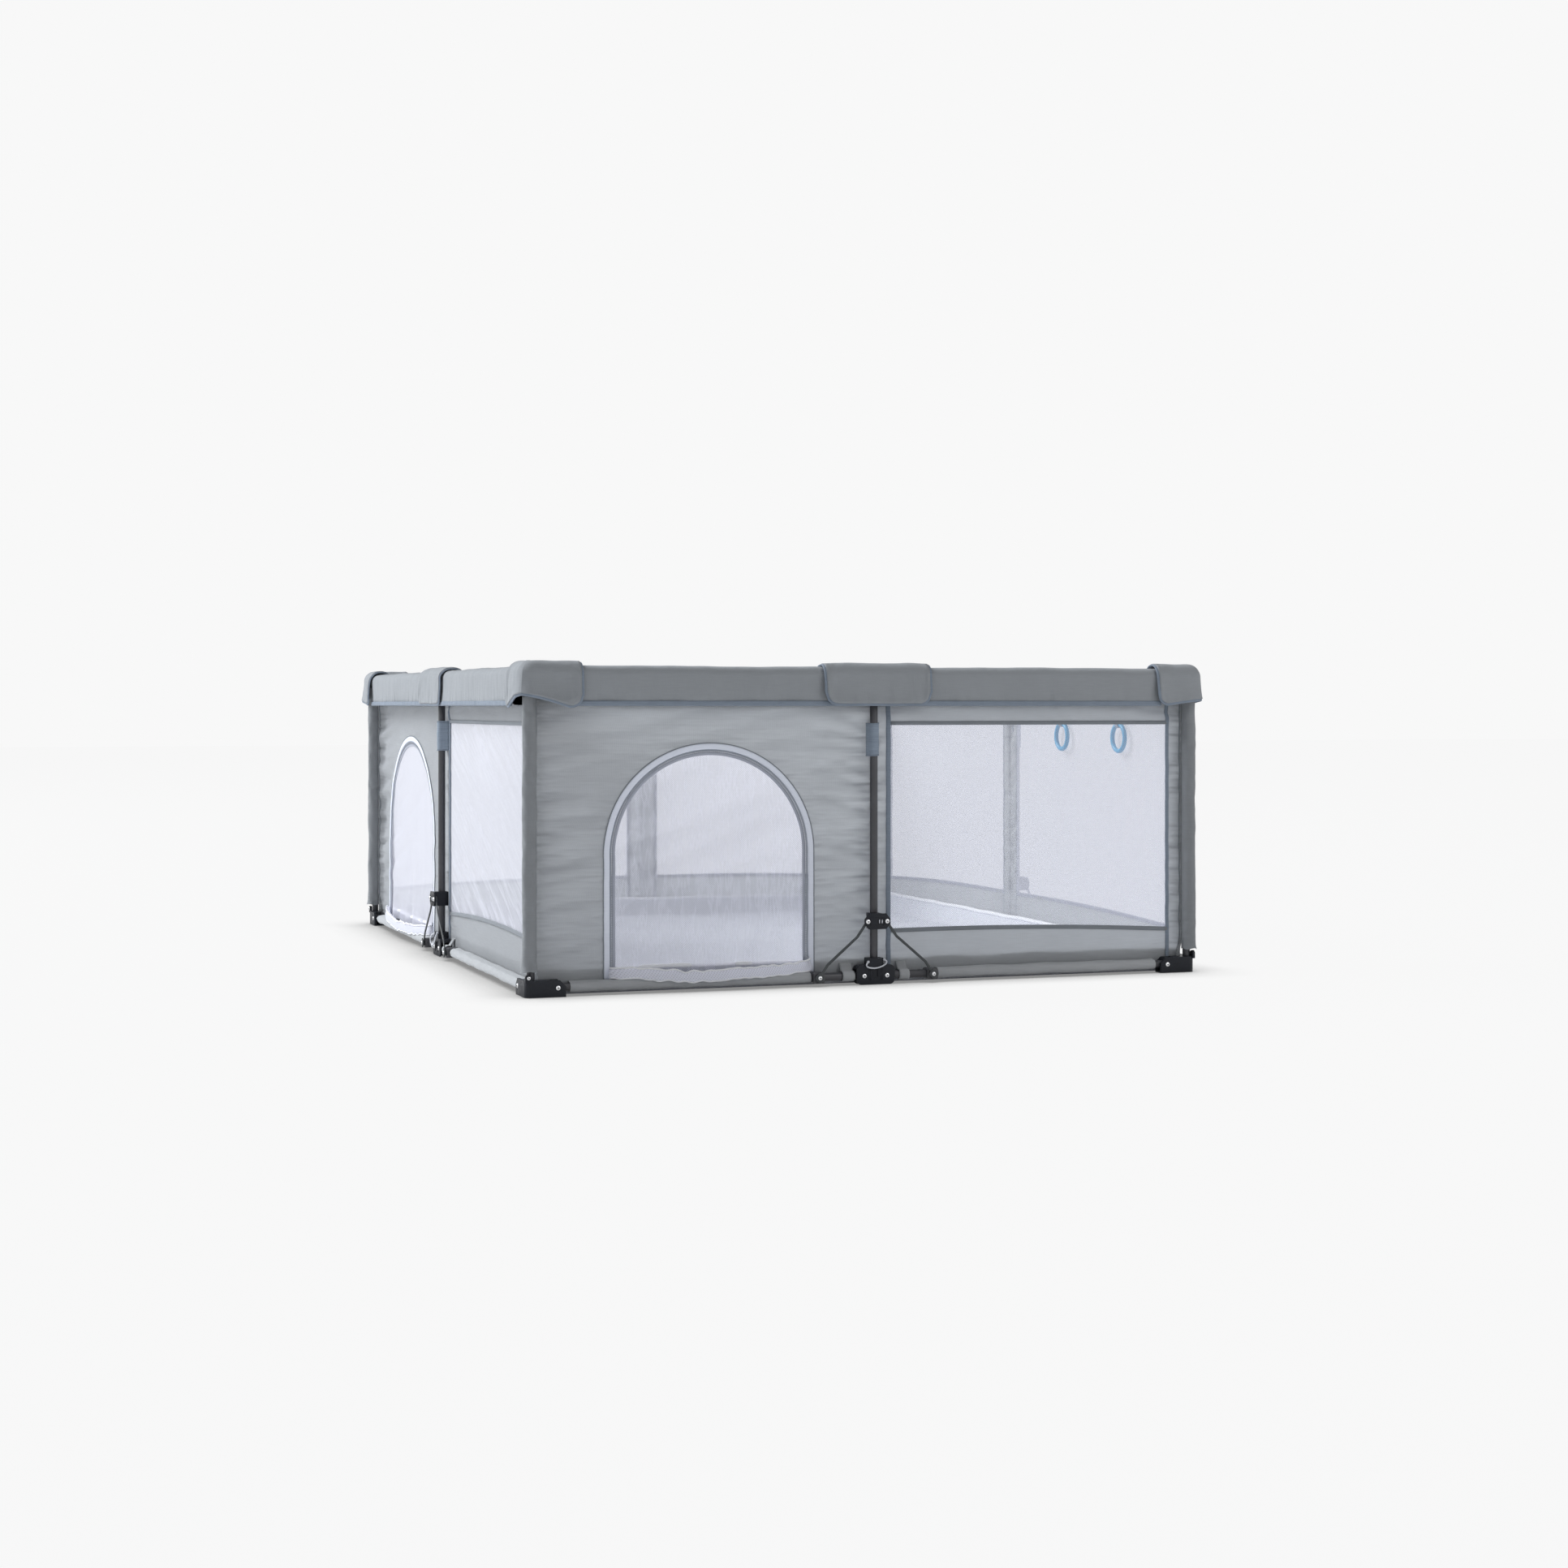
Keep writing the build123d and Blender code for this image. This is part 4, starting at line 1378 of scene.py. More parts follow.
def rail_loop(side, end, centre, width):
    """A loop of tape from the wall's hem round the bare part of the rail."""
    seed = seed_of(side, end) + 1
    turns = [0.45 - 0.35 * k for k in range(16)]
    ring = [(WALL_Y, RAIL_LOW + 0.026)]
    ring += [(LOOP_R * sin(a), RAIL_LOW + LOOP_R * cos(a)) for a in turns]
    ring += [(WALL_Y, RAIL_LOW + 0.004)]
    rows = []
    for d in spaced(centre - width / 2, centre + width / 2, step=0.004):
        puff = 1 + 0.06 * wrinkle(d * 80, 0, seed)
        rows.append([Vector((sign_of(side, end) * d, y * (puff if y < 0.012 else 1), z)) for y, z in ring])
    made = grid_object(f"rail_loop_{side}_{end}", rows, hem_cloth)
    place_mesh(made, side_matrix(side))
    thicken(made, 0.0014)
    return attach(made, f"bottom_rail_{side}_{end}")


for side, end in CORNER_OF:
    rail_loop(side, end, *(NEAR_LOOP if end == SIDES[side][3][0] else FAR_LOOP))
print(len(CORNER_OF), "loops,", LOOP_R, "m in radius")

# %% [markdown]
# A wide strap wraps each middle post high up and holds it to its wall. It is bent, flat material, which
# a bevelled curve would round off. So its section is drawn once as seen from above, and repeated up the
# strap with a slight sway. A binding follows its two cut edges.

# %% Post straps
STRAP_LOW, STRAP_HIGH = 0.470, 0.535
STRAP_R = 0.0096


def post_strap(side):
    seed = seed_of(side, SIDES[side][3][0]) + 60
    ring = [(-0.0112, WALL_Y - 0.0010), (-0.0106, WALL_Y - 0.0060), (-0.0100, 0.0050)]
    ring += [(-STRAP_R * cos(a), -STRAP_R * sin(a)) for a in [pi * k / 12 for k in range(13)]]
    ring += [(0.0112, 0.0060), (0.0135, WALL_Y - 0.0050), (0.0155, WALL_Y - 0.0010)]
    rows = []
    for z in spaced(STRAP_LOW, STRAP_HIGH, step=0.0045):
        sway = 0.0009 * wrinkle(z * 60, 0, seed)
        row = []
        for x, y in ring:
            slant = 0.06 * (x + 0.004) * (1 if x > 0 else 0.3)
            row.append(Vector((x * (1 + sway * 20), y - 0.0004 - sway, z + slant)))
        rows.append(row)
    made = grid_object("post_strap_" + side, rows, strap_cloth)
    place_mesh(made, side_matrix(side))
    thicken(made, 0.0016)
    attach(made, "mid_" + side)
    edges = []
    for cut_edge in (rows[0], rows[-1]):
        line = [p + Vector((0, -0.0002, 0)) for p in cut_edge]
        facing = [Vector((p.x, p.y - WALL_Y, 0)).normalized() for p in line]
        edges.append(sweep_object("edge", line, facing, 0.0016, 0.0013, binding_cloth, sides=8))
    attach(place_mesh(join_objects("strap_edges_" + side, edges), side_matrix(side)), "mid_" + side)


for side in SIDES:
    post_strap(side)
print("straps", round(STRAP_HIGH - STRAP_LOW, 3), "m high on", len(SIDES), "middle posts")

# %% [markdown]
# The padded tops. A cover is a foam-filled sleeve round the top rail: flat sides, a round top and a bound
# lower hem. A pressure run with a limit on its swelling could puff it up, and was not tried. Foam on a
# straight rail keeps its section, so a drawn section is swept along the rail, and noise adds the lumps of
# the foam and the puckers along the hem's stitching.

# %% Section of a top cover
COVER_LOW, COVER_TOP = 0.5735, 0.6505
COVER_HALF = 0.0215
COVER_SHOULDER = 0.017
COVER_STEP = 0.0055


def cover_profile(half, low, top, shoulder):
    """Half a section: (y, z) from the middle of the underside out to the side and up to the crest."""
    points = [(0.0, low), (half * 0.5, low), (half * 0.86, low + 0.001), (half, low + 0.005)]
    points += [(half, low + 0.005 + (top - shoulder - low - 0.005) * k / 6) for k in range(1, 7)]
    for k in range(1, 8):
        a = pi / 2 * k / 7
        points.append((half - shoulder * (1 - cos(a)), top - shoulder + shoulder * sin(a)))
    points.append((0.0, top + 0.0012))
    return points


def hem_pucker(side, end, d, out):
    return wrinkle(d * 62, out * 2, seed_of(side, end) + 30) * 0.0019


print("half a section,", len(cover_profile(COVER_HALF, COVER_LOW, COVER_TOP, COVER_SHOULDER)), "points")

# %% Top covers


def cover_row(side, end, d, section):
    """The section at d along the rail, lumpy and puckered."""
    seed = seed_of(side, end) + 30
    row = []
    for y, z in section:
        out = 1 if y > 0 else -1
        pucker = hem_pucker(side, end, d, out) * exp(-(z - COVER_LOW) / 0.016)
        lump = wrinkle(d * 9, z * 18 + out * 3, seed + 5) * 0.0026
        lump += wrinkle(d * 24, z * 30 + out * 3, seed + 6) * 0.0010
        push = (pucker + lump) * (1 if abs(y) > 0.002 else 0.4)
        lifted = z + 0.6 * lump * (1 if z > 0.64 else 0.3)
        row.append(Vector((sign_of(side, end) * d, y + out * push, lifted)))
    return row


def squash_cover(made, side, end):
    """The cover rides its rail."""
    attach(made, f"top_rail_{side}_{end}")
    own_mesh(made)


def cover_hem(side, end):
    half = SIDES[side][1]
    hems = []
    for out in (-1, 1):
        line = []
        for d in spaced(0.054, half - 0.072, step=COVER_STEP):
            y = out * (COVER_HALF + 0.0006 + hem_pucker(side, end, d, out))
            line.append(Vector((sign_of(side, end) * d, y, COVER_LOW + 0.0035)))
        hems.append(sweep_object("hem", line, Vector((0, out, 0)), 0.0052, 0.0019, binding_cloth, sides=10))
    hem = join_objects(f"cover_hem_{side}_{end}", hems)
    squash_cover(place_mesh(hem, side_matrix(side)), side, end)


def top_cover_half(side, end):
    half = SIDES[side][1]
    profile = cover_profile(COVER_HALF, COVER_LOW, COVER_TOP, COVER_SHOULDER)
    section = profile + [(-y, z) for y, z in reversed(profile[1:-1])]
    rows = [cover_row(side, end, d, section) for d in spaced(0.052, half - 0.070, step=COVER_STEP)]
    made = grid_object(f"cover_pad_{side}_{end}", rows, padded_cloth, closed=True)
    mark_gathers(made, lambda p: 0.22 + exp(-(p.z - COVER_LOW) / 0.014))
    place_mesh(made, side_matrix(side))
    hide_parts("top_cover_" + CORNER_OF[side, end])
    squash_cover(made, side, end)
    cover_hem(side, end)


for side, end in CORNER_OF:
    top_cover_half(side, end)
print(len(CORNER_OF), "top covers,", round(COVER_TOP - COVER_LOW, 3), "m high")

# %% [markdown]
# Flaps and caps are padded saddles over the joints of the top rails. Both are a skin that goes up one side,
# over the top and down the other, with a bound edge. A box with a bevel would have its points in the wrong
# places. So one function gives the section by a share c, from one hem to the other, and both use it.

# %% Saddle section
SADDLE_TOP = 0.6565
SADDLE_SHOULDER = 0.022
CREST = 0.645  # above this a saddle is its rounded top, not its sides


def saddle_point(c, half, hem, top=SADDLE_TOP, shoulder=SADDLE_SHOULDER):
    """(y, z) at c from -1, one hem, to 1, the other. hem is the height of the edge."""
    side_run = top - shoulder - hem
    round_run = shoulder * pi / 2
    flat_run = half - shoulder
    s = abs(c) * (side_run + round_run + flat_run)
    if s < flat_run:
        y, z = s, top
    elif s < flat_run + round_run:
        a = (s - flat_run) / shoulder
        y, z = flat_run + shoulder * sin(a), top - shoulder * (1 - cos(a))
    else:
        y, z = half, top - shoulder - (s - flat_run - round_run)
    return (y if c > 0 else -y), z


def rounded_end(share):
    """Grows from none to one like a quarter circle, for an edge with rounded corners."""
    return 1 - sqrt(max(0.0, 1 - share**2))


def edge_ribbon(name, points, outwards, half_width=0.0048, closed=True):
    """The binding round a saddle's edge."""
    return sweep_object(name, points, outwards, half_width, 0.0019, binding_cloth, closed=closed)


print("a saddle's crest is at", SADDLE_TOP, "m")

# %% [markdown]
# A flap lies over each middle post and hides its upper hub. Its ends are rounded, its sides stand off a
# little, and foam puffs it out. A pressure run could do that too, and was not tried. The pad is thin, so
# it is the saddle with noise on it and a thickness, and it is fixed to the post, to rise with it unbent.

# %% Flaps over the middle posts
FLAP_HALF = 0.1135
FLAP_Y = 0.0262
FLAP_LOW = 0.5765
FLAP_END = 0.026
FLAP_THICK = 0.0034


def flap_surface(x, c, seed):
    near_end = max(0.0, abs(x) - (FLAP_HALF - FLAP_END)) / FLAP_END
    hem = FLAP_LOW + 0.026 * rounded_end(near_end) + 0.0015 * wrinkle(x * 20, c, seed)
    y, z = saddle_point(c, FLAP_Y, hem)
    out = 1 if y > 0 else -1
    low_part = exp(-(z - hem) / 0.03)
    flare = 0.0040 * low_part * (0.4 + 0.6 * (x / FLAP_HALF) ** 2)
    puff = wrinkle(x * 13, z * 20 + out * 4, seed + 3) * 0.0028
    puff += wrinkle(x * 34, z * 40 + out * 4, seed + 9) * 0.0014
    if z > SADDLE_TOP - SADDLE_SHOULDER:
        z += puff * 0.7
    return Vector((x, y + out * (flare + puff), z - 0.0015 * near_end))


def flap_gathers(p):
    return 0.20 + exp(-(p.z - FLAP_LOW) / 0.014) + exp(-(FLAP_HALF - abs(p.x)) / 0.012)


def flap_edge(side, rows):
    """The binding, all the way round."""
    rim = [row[0] for row in rows] + rows[-1][1:]
    rim += [row[-1] for row in reversed(rows[:-1])] + list(reversed(rows[0][1:-1]))
    outwards = []
    for p in rim:
        across = Vector((0, p.y, max(0.0, p.z - CREST) * 1.6))
        outwards.append(across.normalized() if across.length > 0.001 else Vector((0, 0, 1)))
    edge = edge_ribbon("flap_edge_" + side, rim, outwards)
    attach(place_mesh(edge, side_matrix(side)), "mid_" + side)


def mid_flap(side):
    seed = seed_of(side, SIDES[side][3][0]) + 44
    columns = [k / 22 for k in range(-22, 23)]
    rows = [[flap_surface(x, c, seed) for c in columns] for x in spaced(-FLAP_HALF, FLAP_HALF, step=0.006)]
    made = grid_object("flap_pad_" + side, rows, padded_cloth)
    mark_gathers(made, flap_gathers)
    place_mesh(made, side_matrix(side))
    thicken(made, FLAP_THICK, -1.0)
    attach(made, "mid_" + side)
    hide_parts("mid_flap_" + side)
    flap_edge(side, rows)


for side in SIDES:
    mid_flap(side)
print(len(SIDES), "flaps,", 2 * FLAP_HALF, "m long")

# %% [markdown]
# A cap covers each corner post with two arms on a mitre, one along each top rail. As the pen folds, the
# rails tip at the post and the post stays upright, so a rigid cap would cut into one of them. Each arm is
# made in place as a mesh of its own.

# %% Surface of a corner cap
CAP_HALF = 0.0260
CAP_ROUND = 0.0245
CAP_LOW = 0.5765
CAP_OVERLAP = 0.025
CAP_SHOULDER = 0.0235
CORNER_OUT = Vector((-1, -1, 0)).normalized()


def rounded_outer(p):
    """Rounds the square outer corner of the cap, seen from above."""
    centre = CAP_ROUND - CAP_HALF
    vx, vy = p.x - centre, p.y - centre
    if vx >= 0 or vy >= 0:
        return p
    length = sqrt(vx * vx + vy * vy)
    scale = abs(vy) / length
    return Vector((centre + vx * scale, centre + vy * scale, p.z))


def cap_surface(corner, seed, reach, s, c):
    """s runs from the post's middle to the arm's end, c from the outer hem to the inner one."""
    # the hem is lowest at the arm's end and highest under the post, most of all on the nearest cap
    hem_drop = rise(s, 0.0, 0.8) ** 1.4
    wide = corner == "front_left"
    lift = (0.024 if wide else 0.010) * (1 - hem_drop) - (0.0045 if wide else 0.0)
    end_lift = 0.022 * rounded_end(max(0.0, s - 0.80) / 0.20)
    hem = CAP_LOW + end_lift + (lift if c < 0 else 0.004 * (1 - hem_drop))
    y, z = saddle_point(c, CAP_HALF, hem, shoulder=CAP_SHOULDER)
    x = y + (reach - y) * s
    flat = rounded_outer(Vector((x, y, z)))
    out = Vector((0, 1 if y > 0 else -1, 0))
    low_part = exp(-(z - hem) / 0.028)
    flare = (0.0060 if c < 0 else 0.002) * low_part
    puff = wrinkle(x * 16 + y * 5, z * 22 + y * 9, seed) * 0.0036
    puff += wrinkle(x * 38, z * 36 + y * 20, seed + 2) * 0.0017
    blend_in = rise(s, 0.0, 0.12)
    if z >= CREST:
        flat.z += 0.0010 + puff * 0.4 * blend_in
    elif c < 0:
        towards = out * blend_in + CORNER_OUT * (1 - blend_in)
        flat += towards.normalized() * (flare + puff * blend_in)
    else:
        flat += out * (flare + puff) * blend_in
    return flat


print("caps reach", CAP_OVERLAP, "m past the mitre, to lie over each other")

# %% Caps over the corners
CAP_REACH, LONG_CAP_REACH = 0.080, 0.096
CAP_THICK = 0.0036
CAP_STATIONS = 30


def cap_rim(rows, arm):
    """The edge of an arm without its mitre, and the direction outwards at each point of it."""
    rim = [row[0] for row in rows[2:]] + rows[-1][1:] + [row[-1] for row in reversed(rows[2:-1])]
    outwards = []
    for p in rim:
        away = Vector((0, p.y, 0)) if not arm else Vector((p.x, 0, 0))
        up = max(0.0, p.z - CREST) * 1.6
        outwards.append(Vector((away.x, away.y, up)).normalized())
    return rim, outwards


def cap_arm(corner, arm, reach, side):
    """arm 0 runs along the corner's x and arm 1 along its y."""
    seed = CORNERS[corner][0] / 10 + arm * 7 + 3
    columns = [k / 24 for k in range(-24, 25)]
    stations = [-CAP_OVERLAP * k / 2 for k in (2, 1)]
    stations += [(i / CAP_STATIONS) ** 1.15 for i in range(CAP_STATIONS + 1)]
    rows = [[cap_surface(corner, seed, reach, s, c) for c in columns] for s in stations]
    if arm:
        rows = [[Vector((p.y, p.x, p.z)) for p in row] for row in rows]
    made = grid_object(f"corner_cap_{corner}_{side}", rows, padded_cloth)

    def gathers(p):
        return 0.22 + exp(-(p.z - CAP_LOW) / 0.014) + exp(-(reach - max(p.x, p.y)) / 0.012)

    mark_gathers(made, gathers)
    rim, outwards = cap_rim(rows, arm)
    edge = edge_ribbon(f"cap_edge_{corner}_{side}", rim, outwards, half_width=0.0045, closed=False)
    place = corner_matrix(corner)
    for piece in (made, edge):
        place_mesh(piece, place)
        if arm:
            piece.data.flip_normals()
        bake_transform(piece)
    thicken(made, CAP_THICK, -1.0)


for (side, end), corner in CORNER_OF.items():
    # the arm along the corner's own x belongs to the side that has the corner's turn
    arm = 0 if SIDES[side][0] == CORNERS[corner][0] else 1
    reach = LONG_CAP_REACH if corner == "front_left" and arm == 0 else CAP_REACH
    cap_arm(corner, arm, reach, side)
print(len(CORNERS), "corner caps of two arms each")

# %% [markdown]
# The screws have pressed zinc heads with a cross, at the pivots, on the sliders and braces, and low on the
# corner brackets. The construction model has plain discs there. A bump map would not stand out from the
# side, so each head is a low dome turned from a profile, with a flat dark cross laid just over its crown:
# painted shade, in place of the shade in a real cross-shaped recess.

# %% Where the screws are
HEAD_R = 0.005
BRACE_HEAD_R = 0.0045
FOOT_HEAD_R = 0.004
HUB_FACE, BRACKET_FACE, SLIDER_FACE, BRACE_FACE = -0.012, -0.014, -0.0225, -0.0215
SLIDER_HEIGHT = 0.130


def screw_places():
    """(frame, x, z, y of the face, radius, body) of each screw head seen from outside."""
    places = []
    for side, (_, half, _, ends) in SIDES.items():
        frame_of = side_matrix(side)
        for end in ends:
            sign = sign_of(side, end)
            corner = "corner_" + CORNER_OF[side, end]
            from_post = half - CORNER_PIVOT
            places += [
                (frame_of, sign * MID_PIVOT, RAIL_LOW, HUB_FACE, HEAD_R, "mid_" + side),
                (frame_of, sign * MID_PIVOT, RAIL_TOP, HUB_FACE, HEAD_R, "mid_" + side),
                (frame_of, sign * 0.021, SLIDER_HEIGHT, SLIDER_FACE, HEAD_R, "slider_" + side),
                (frame_of, sign * 0.125, RAIL_LOW, BRACE_FACE, BRACE_HEAD_R, f"brace_{side}_{end}"),
                (frame_of, sign * from_post, RAIL_LOW, BRACKET_FACE, HEAD_R, corner),
                (frame_of, sign * from_post, RAIL_TOP, BRACKET_FACE, HEAD_R, corner),
            ]
    for corner in CORNERS:
        foot_screw = (-0.007, 0.039, BRACKET_FACE, FOOT_HEAD_R)
        places.append((corner_matrix(corner), *foot_screw, "corner_" + corner))
    return places


SCREWS = screw_places()
print(len(SCREWS), "screws")

# %% Screw heads
# the dome's (radius, height) from its crown to its skirt, with the radius as a share of the head's
HEAD_PROFILE = ((0.0, 0.0024), (0.45, 0.0023), (0.78, 0.0017), (0.95, 0.0009), (1.0, 0.0), (0.97, -0.0004))
CROSS_LIFT = 0.00246


def screw_head(frame_of, x, z, face, radius):
    """A low dome, with a flat dark cross over its crown as painted shade of a cross-shaped recess."""
    sides = 20
    points, faces = [Vector((x, face - HEAD_PROFILE[0][1], z))], []
    for r, out in HEAD_PROFILE[1:]:
        for k in range(sides):
            a = 2 * pi * k / sides
            points.append(Vector((x + radius * r * cos(a), face - out, z + radius * r * sin(a))))
    for k in range(sides):
        faces.append((0, 1 + k, 1 + (k + 1) % sides))
    for ring in range(len(HEAD_PROFILE) - 2):
        for k in range(sides):
            a, b = 1 + ring * sides + k, 1 + ring * sides + (k + 1) % sides
            faces.append((a, a + sides, b + sides, b))
    dome = add_object("dome", points, faces, zinc)
    arm, slim, top = radius * 0.50, radius * 0.13, face - CROSS_LIFT
    cross = []
    for u, v in ((arm, slim), (slim, arm)):
        cross += [Vector((x + i * u, top, z + j * v)) for i, j in ((-1, -1), (1, -1), (1, 1), (-1, 1))]
    # the cross is flat, and its dark colour is painted shade
    recess = add_object("recess", cross, [(0, 1, 2, 3), (4, 5, 6, 7)], recess_painted_shade, smooth=False)
    return place_mesh(join_objects("screw", [dome, recess]), frame_of)


by_body = {}
for frame_of, x, z, face, radius, rider in SCREWS:
    by_body.setdefault(rider, []).append(screw_head(frame_of, x, z, face, radius))
for rider, heads in by_body.items():
    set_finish(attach(join_objects("screw_heads_" + rider, heads), rider), "dark_steel")

# %% [markdown]
# The steel and the plastic keep the shapes of the construction model, whose edges are perfectly sharp. Real
# ones are never so: a rounding of about a millimetre catches a thin line of light. It could be cut into
# each mesh by hand. A bevel modifier does it to a copy of them all, once the plain screw heads are gone.

# %% Cutting and bevelling the hard parts


def plain_head_faces(mesh, frame_of, x, z, radius):
    """The faces of one plain screw head, in front of the part that carries it."""
    back = frame_of.inverted()
    faces = []
    for one in mesh.faces:
        near = [back @ v.co for v in one.verts]
        if all((p.x - x) ** 2 + (p.z - z) ** 2 < (radius + 0.0002) ** 2 and p.y < 0.013 for p in near):
            faces.append(one)
    return faces


def round_edges(made, width):
    bevel = made.modifiers.new("round_edge", "BEVEL")
    bevel.width = width
    bevel.segments = 2
    bevel.limit_method = "ANGLE"
    bevel.angle_limit = radians(38)
    bevel.harden_normals = True


print("bevels ready")

# %% Dressing the hard parts
HIDDEN_TOP = 0.6500  # the upper hubs are shaved to this height, to lie under the flaps
NO_LIMIT = 1.0
# how the names of the nodes start, their finish, its slot, and the width of the bevel
FINISHES = (
    (("corner_post", "mid_post", "top_rail"), dark_steel, "dark_steel", 0.0004),
    (("bottom_rail",), dark_steel, "dark_steel", 0.0006),
    (("brace",), dark_rod, "dark_rod", 0.0007),
    (("corner_brackets", "mid_hubs", "slider"), black_plastic, "black_plastic", 0.0012),
)


def dress_node(name, material, width):
    """A smoother copy of a construction mesh, without its plain screw heads."""
    source = frame["nodes"][name]
    mesh = bmesh.new()
    mesh.from_mesh(source.data)
    body = source["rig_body"]
    for frame_of, x, z, _, radius, rider in SCREWS:
        if rider == body:
            heads = plain_head_faces(mesh, frame_of, x, z, radius)
            bmesh.ops.delete(mesh, geom=heads, context="FACES")
    top = HIDDEN_TOP if name.startswith("mid_hubs") else NO_LIMIT
    for vertex in mesh.verts:
        vertex.co.z = min(vertex.co.z, top)
    bmesh.ops.remove_doubles(mesh, verts=mesh.verts, dist=0.00002)
    bmesh.ops.dissolve_limit(mesh, angle_limit=radians(0.8), verts=mesh.verts, edges=mesh.edges)
    data = bpy.data.meshes.new("made_" + name)
    mesh.to_mesh(data)
    mesh.free()
    data.materials.clear()
    data.materials.append(material)
    data.polygons.foreach_set("use_smooth", [True] * len(data.polygons))
    data.polygons.foreach_set("material_index", [0] * len(data.polygons))
    made = bpy.data.objects.new("made_" + name, data)
    bpy.context.scene.collection.objects.link(made)
    round_edges(made, width)
    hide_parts(name)
    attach(made, body)
    return made


dressed = 0
for name in frame["nodes"]:
    for starts, material, finish, width in FINISHES:
        if name.startswith(starts):
            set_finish(dress_node(name, material, width), finish)
            dressed += 1
print(dressed, "hard parts dressed")

# %% [markdown]
# The slider on each middle post carries a raised six-sided rim and two pale catches, and the lower hub has
# moulded ribs either side of a key slot. A bump could draw them, but would go flat when seen from the side.
# Each is a short sweep instead, a little proud of the plate that it stands on.

# %% Slider and hub details
SLIDER_RIM = ((-0.013, -0.009), (0.013, -0.009), (0.017, 0), (0.013, 0.009), (-0.013, 0.009), (-0.017, 0))
KEY_RIM = ((-0.0055, 0.0145), (0.0055, 0.0145), (0.0055, 0.0325), (-0.0055, 0.0325))
CATCHES = (0.0035, 0.0095)
RIBS = (-0.0145, -0.0110, 0.0110, 0.0145)


def slider_face(side):
    """A raised rim, a sunk middle and two pale catches on the slider's plate."""
    rim = [Vector((x, SLIDER_FACE - 0.0002, SLIDER_HEIGHT + dz)) for x, dz in SLIDER_RIM]
    outline = rounded_loop(rim)
    ring = sweep_object("rim", outline, SIDE_OUT, 0.0011, 0.0010, black_plastic, sides=8, closed=True)
    catches = []
    for x in CATCHES:
        foot = Vector((x, SLIDER_FACE - 0.0004, SLIDER_HEIGHT - 0.0035))
        up = Vector((0, -0.0006, 0.007))
        catches.append(straight_bar("catch", foot, up, 0.0011, 0.0010, white_cord, SIDE_OUT, sides=8))
    made = join_objects("slider_face_" + side, [ring, *catches])
    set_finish(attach(place_mesh(made, side_matrix(side)), "slider_" + side), "black_plastic")


def hub_ribs(side):
    """Moulded ribs on the lower hub's plate, either side of its key slot."""
    ribs = []
    for x in RIBS:
        low, up = Vector((x, HUB_FACE, 0.009)), Vector((0, 0, 0.024))
        ribs.append(straight_bar("rib", low, up, 0.0008, 0.0007, black_plastic, SIDE_OUT, sides=8))
    outline = rounded_loop([Vector((x, HUB_FACE, z)) for x, z in KEY_RIM])
    key = sweep_object("key_rim", outline, SIDE_OUT, 0.0009, 0.0008, black_plastic, sides=8, closed=True)
    made = join_objects("hub_ribs_" + side, [*ribs, key])
    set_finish(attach(place_mesh(made, side_matrix(side)), "mid_" + side), "black_plastic")


for side in SIDES:
    slider_face(side)
    hub_ribs(side)
print(len(SIDES), "slider faces and hub plates")

# %% [markdown]
# A knotted loop of white cord hangs on each lower hub, to pull the hub up by when the pen is folded. A run
# could let it fall, but a loop this short hardly moves. So it is a smooth curve by a few points, with a
# round bevel, and it ends in two knots. Its length is measured on the same curve without the bevel.

# %% Routes of the pull cords
CORD_R = 0.0016
LOOPS = {
    "front": [
        (-0.0175, -0.0150, 0.047), (-0.0235, -0.0175, 0.043), (-0.0210, -0.0180, 0.036),
        (-0.0060, -0.0165, 0.0335), (0.0080, -0.0165, 0.0355), (0.0190, -0.0178, 0.041),
        (0.0235, -0.0160, 0.0475), (0.0180, -0.0145, 0.0505),
    ],
    "left": [
        (-0.0175, -0.0150, 0.049), (-0.0300, -0.0190, 0.044), (-0.0330, -0.0200, 0.030),
        (-0.0180, -0.0185, 0.021), (0.0020, -0.0175, 0.030), (0.0160, -0.0180, 0.043),
        (0.0230, -0.0165, 0.050), (0.0178, -0.0145, 0.053),
    ],
}
LOOPS["right"] = [(-x, y, z) for x, y, z in LOOPS["front"]]
LOOPS["back"] = [(-x, y, z) for x, y, z in LOOPS["left"]]


print(len(LOOPS), "cords, by", [len(route) for route in LOOPS.values()], "points")

# %% Cord helpers


def cord_curve(name, points):
    data = bpy.data.curves.new(name, "CURVE")
    data.dimensions = "3D"
    data.bevel_depth = CORD_R
    data.bevel_resolution = 4
    data.resolution_u = 10
    data.use_fill_caps = True
    spline = data.splines.new("NURBS")
    spline.points.add(len(points) - 1)
    for point, at in zip(spline.points, points):
        point.co = (*at, 1)
    spline.order_u = 3
    spline.use_endpoint_u = True
    data.materials.append(white_cord)
    made = bpy.data.objects.new(name, data)
    bpy.context.scene.collection.objects.link(made)
    return made


def curve_length(data):
    """The run of a curve along its middle, on a copy without its bevel."""
    bare = data.copy()
    bare.bevel_depth = 0
    probe = bpy.data.objects.new("probe", bare)
    bpy.context.scene.collection.objects.link(probe)
    bpy.context.view_layer.update()
    line = probe.evaluated_get(bpy.context.evaluated_depsgraph_get()).to_mesh()
    ends = [edge.vertices for edge in line.edges]
    length = sum((line.vertices[a].co - line.vertices[b].co).length for a, b in ends)
    bpy.data.objects.remove(probe)
    bpy.data.curves.remove(bare)
    return length


def knot(at):
    centre, inward = Vector(at), Vector((0, 0.0028, 0))
    line = [centre + inward, centre + inward * 0.35, centre - inward * 0.2]
    return sweep_object("knot", line, Vector((1, 0, 0)), 0.0026, 0.0024, white_cord, sides=12, square=1.0)


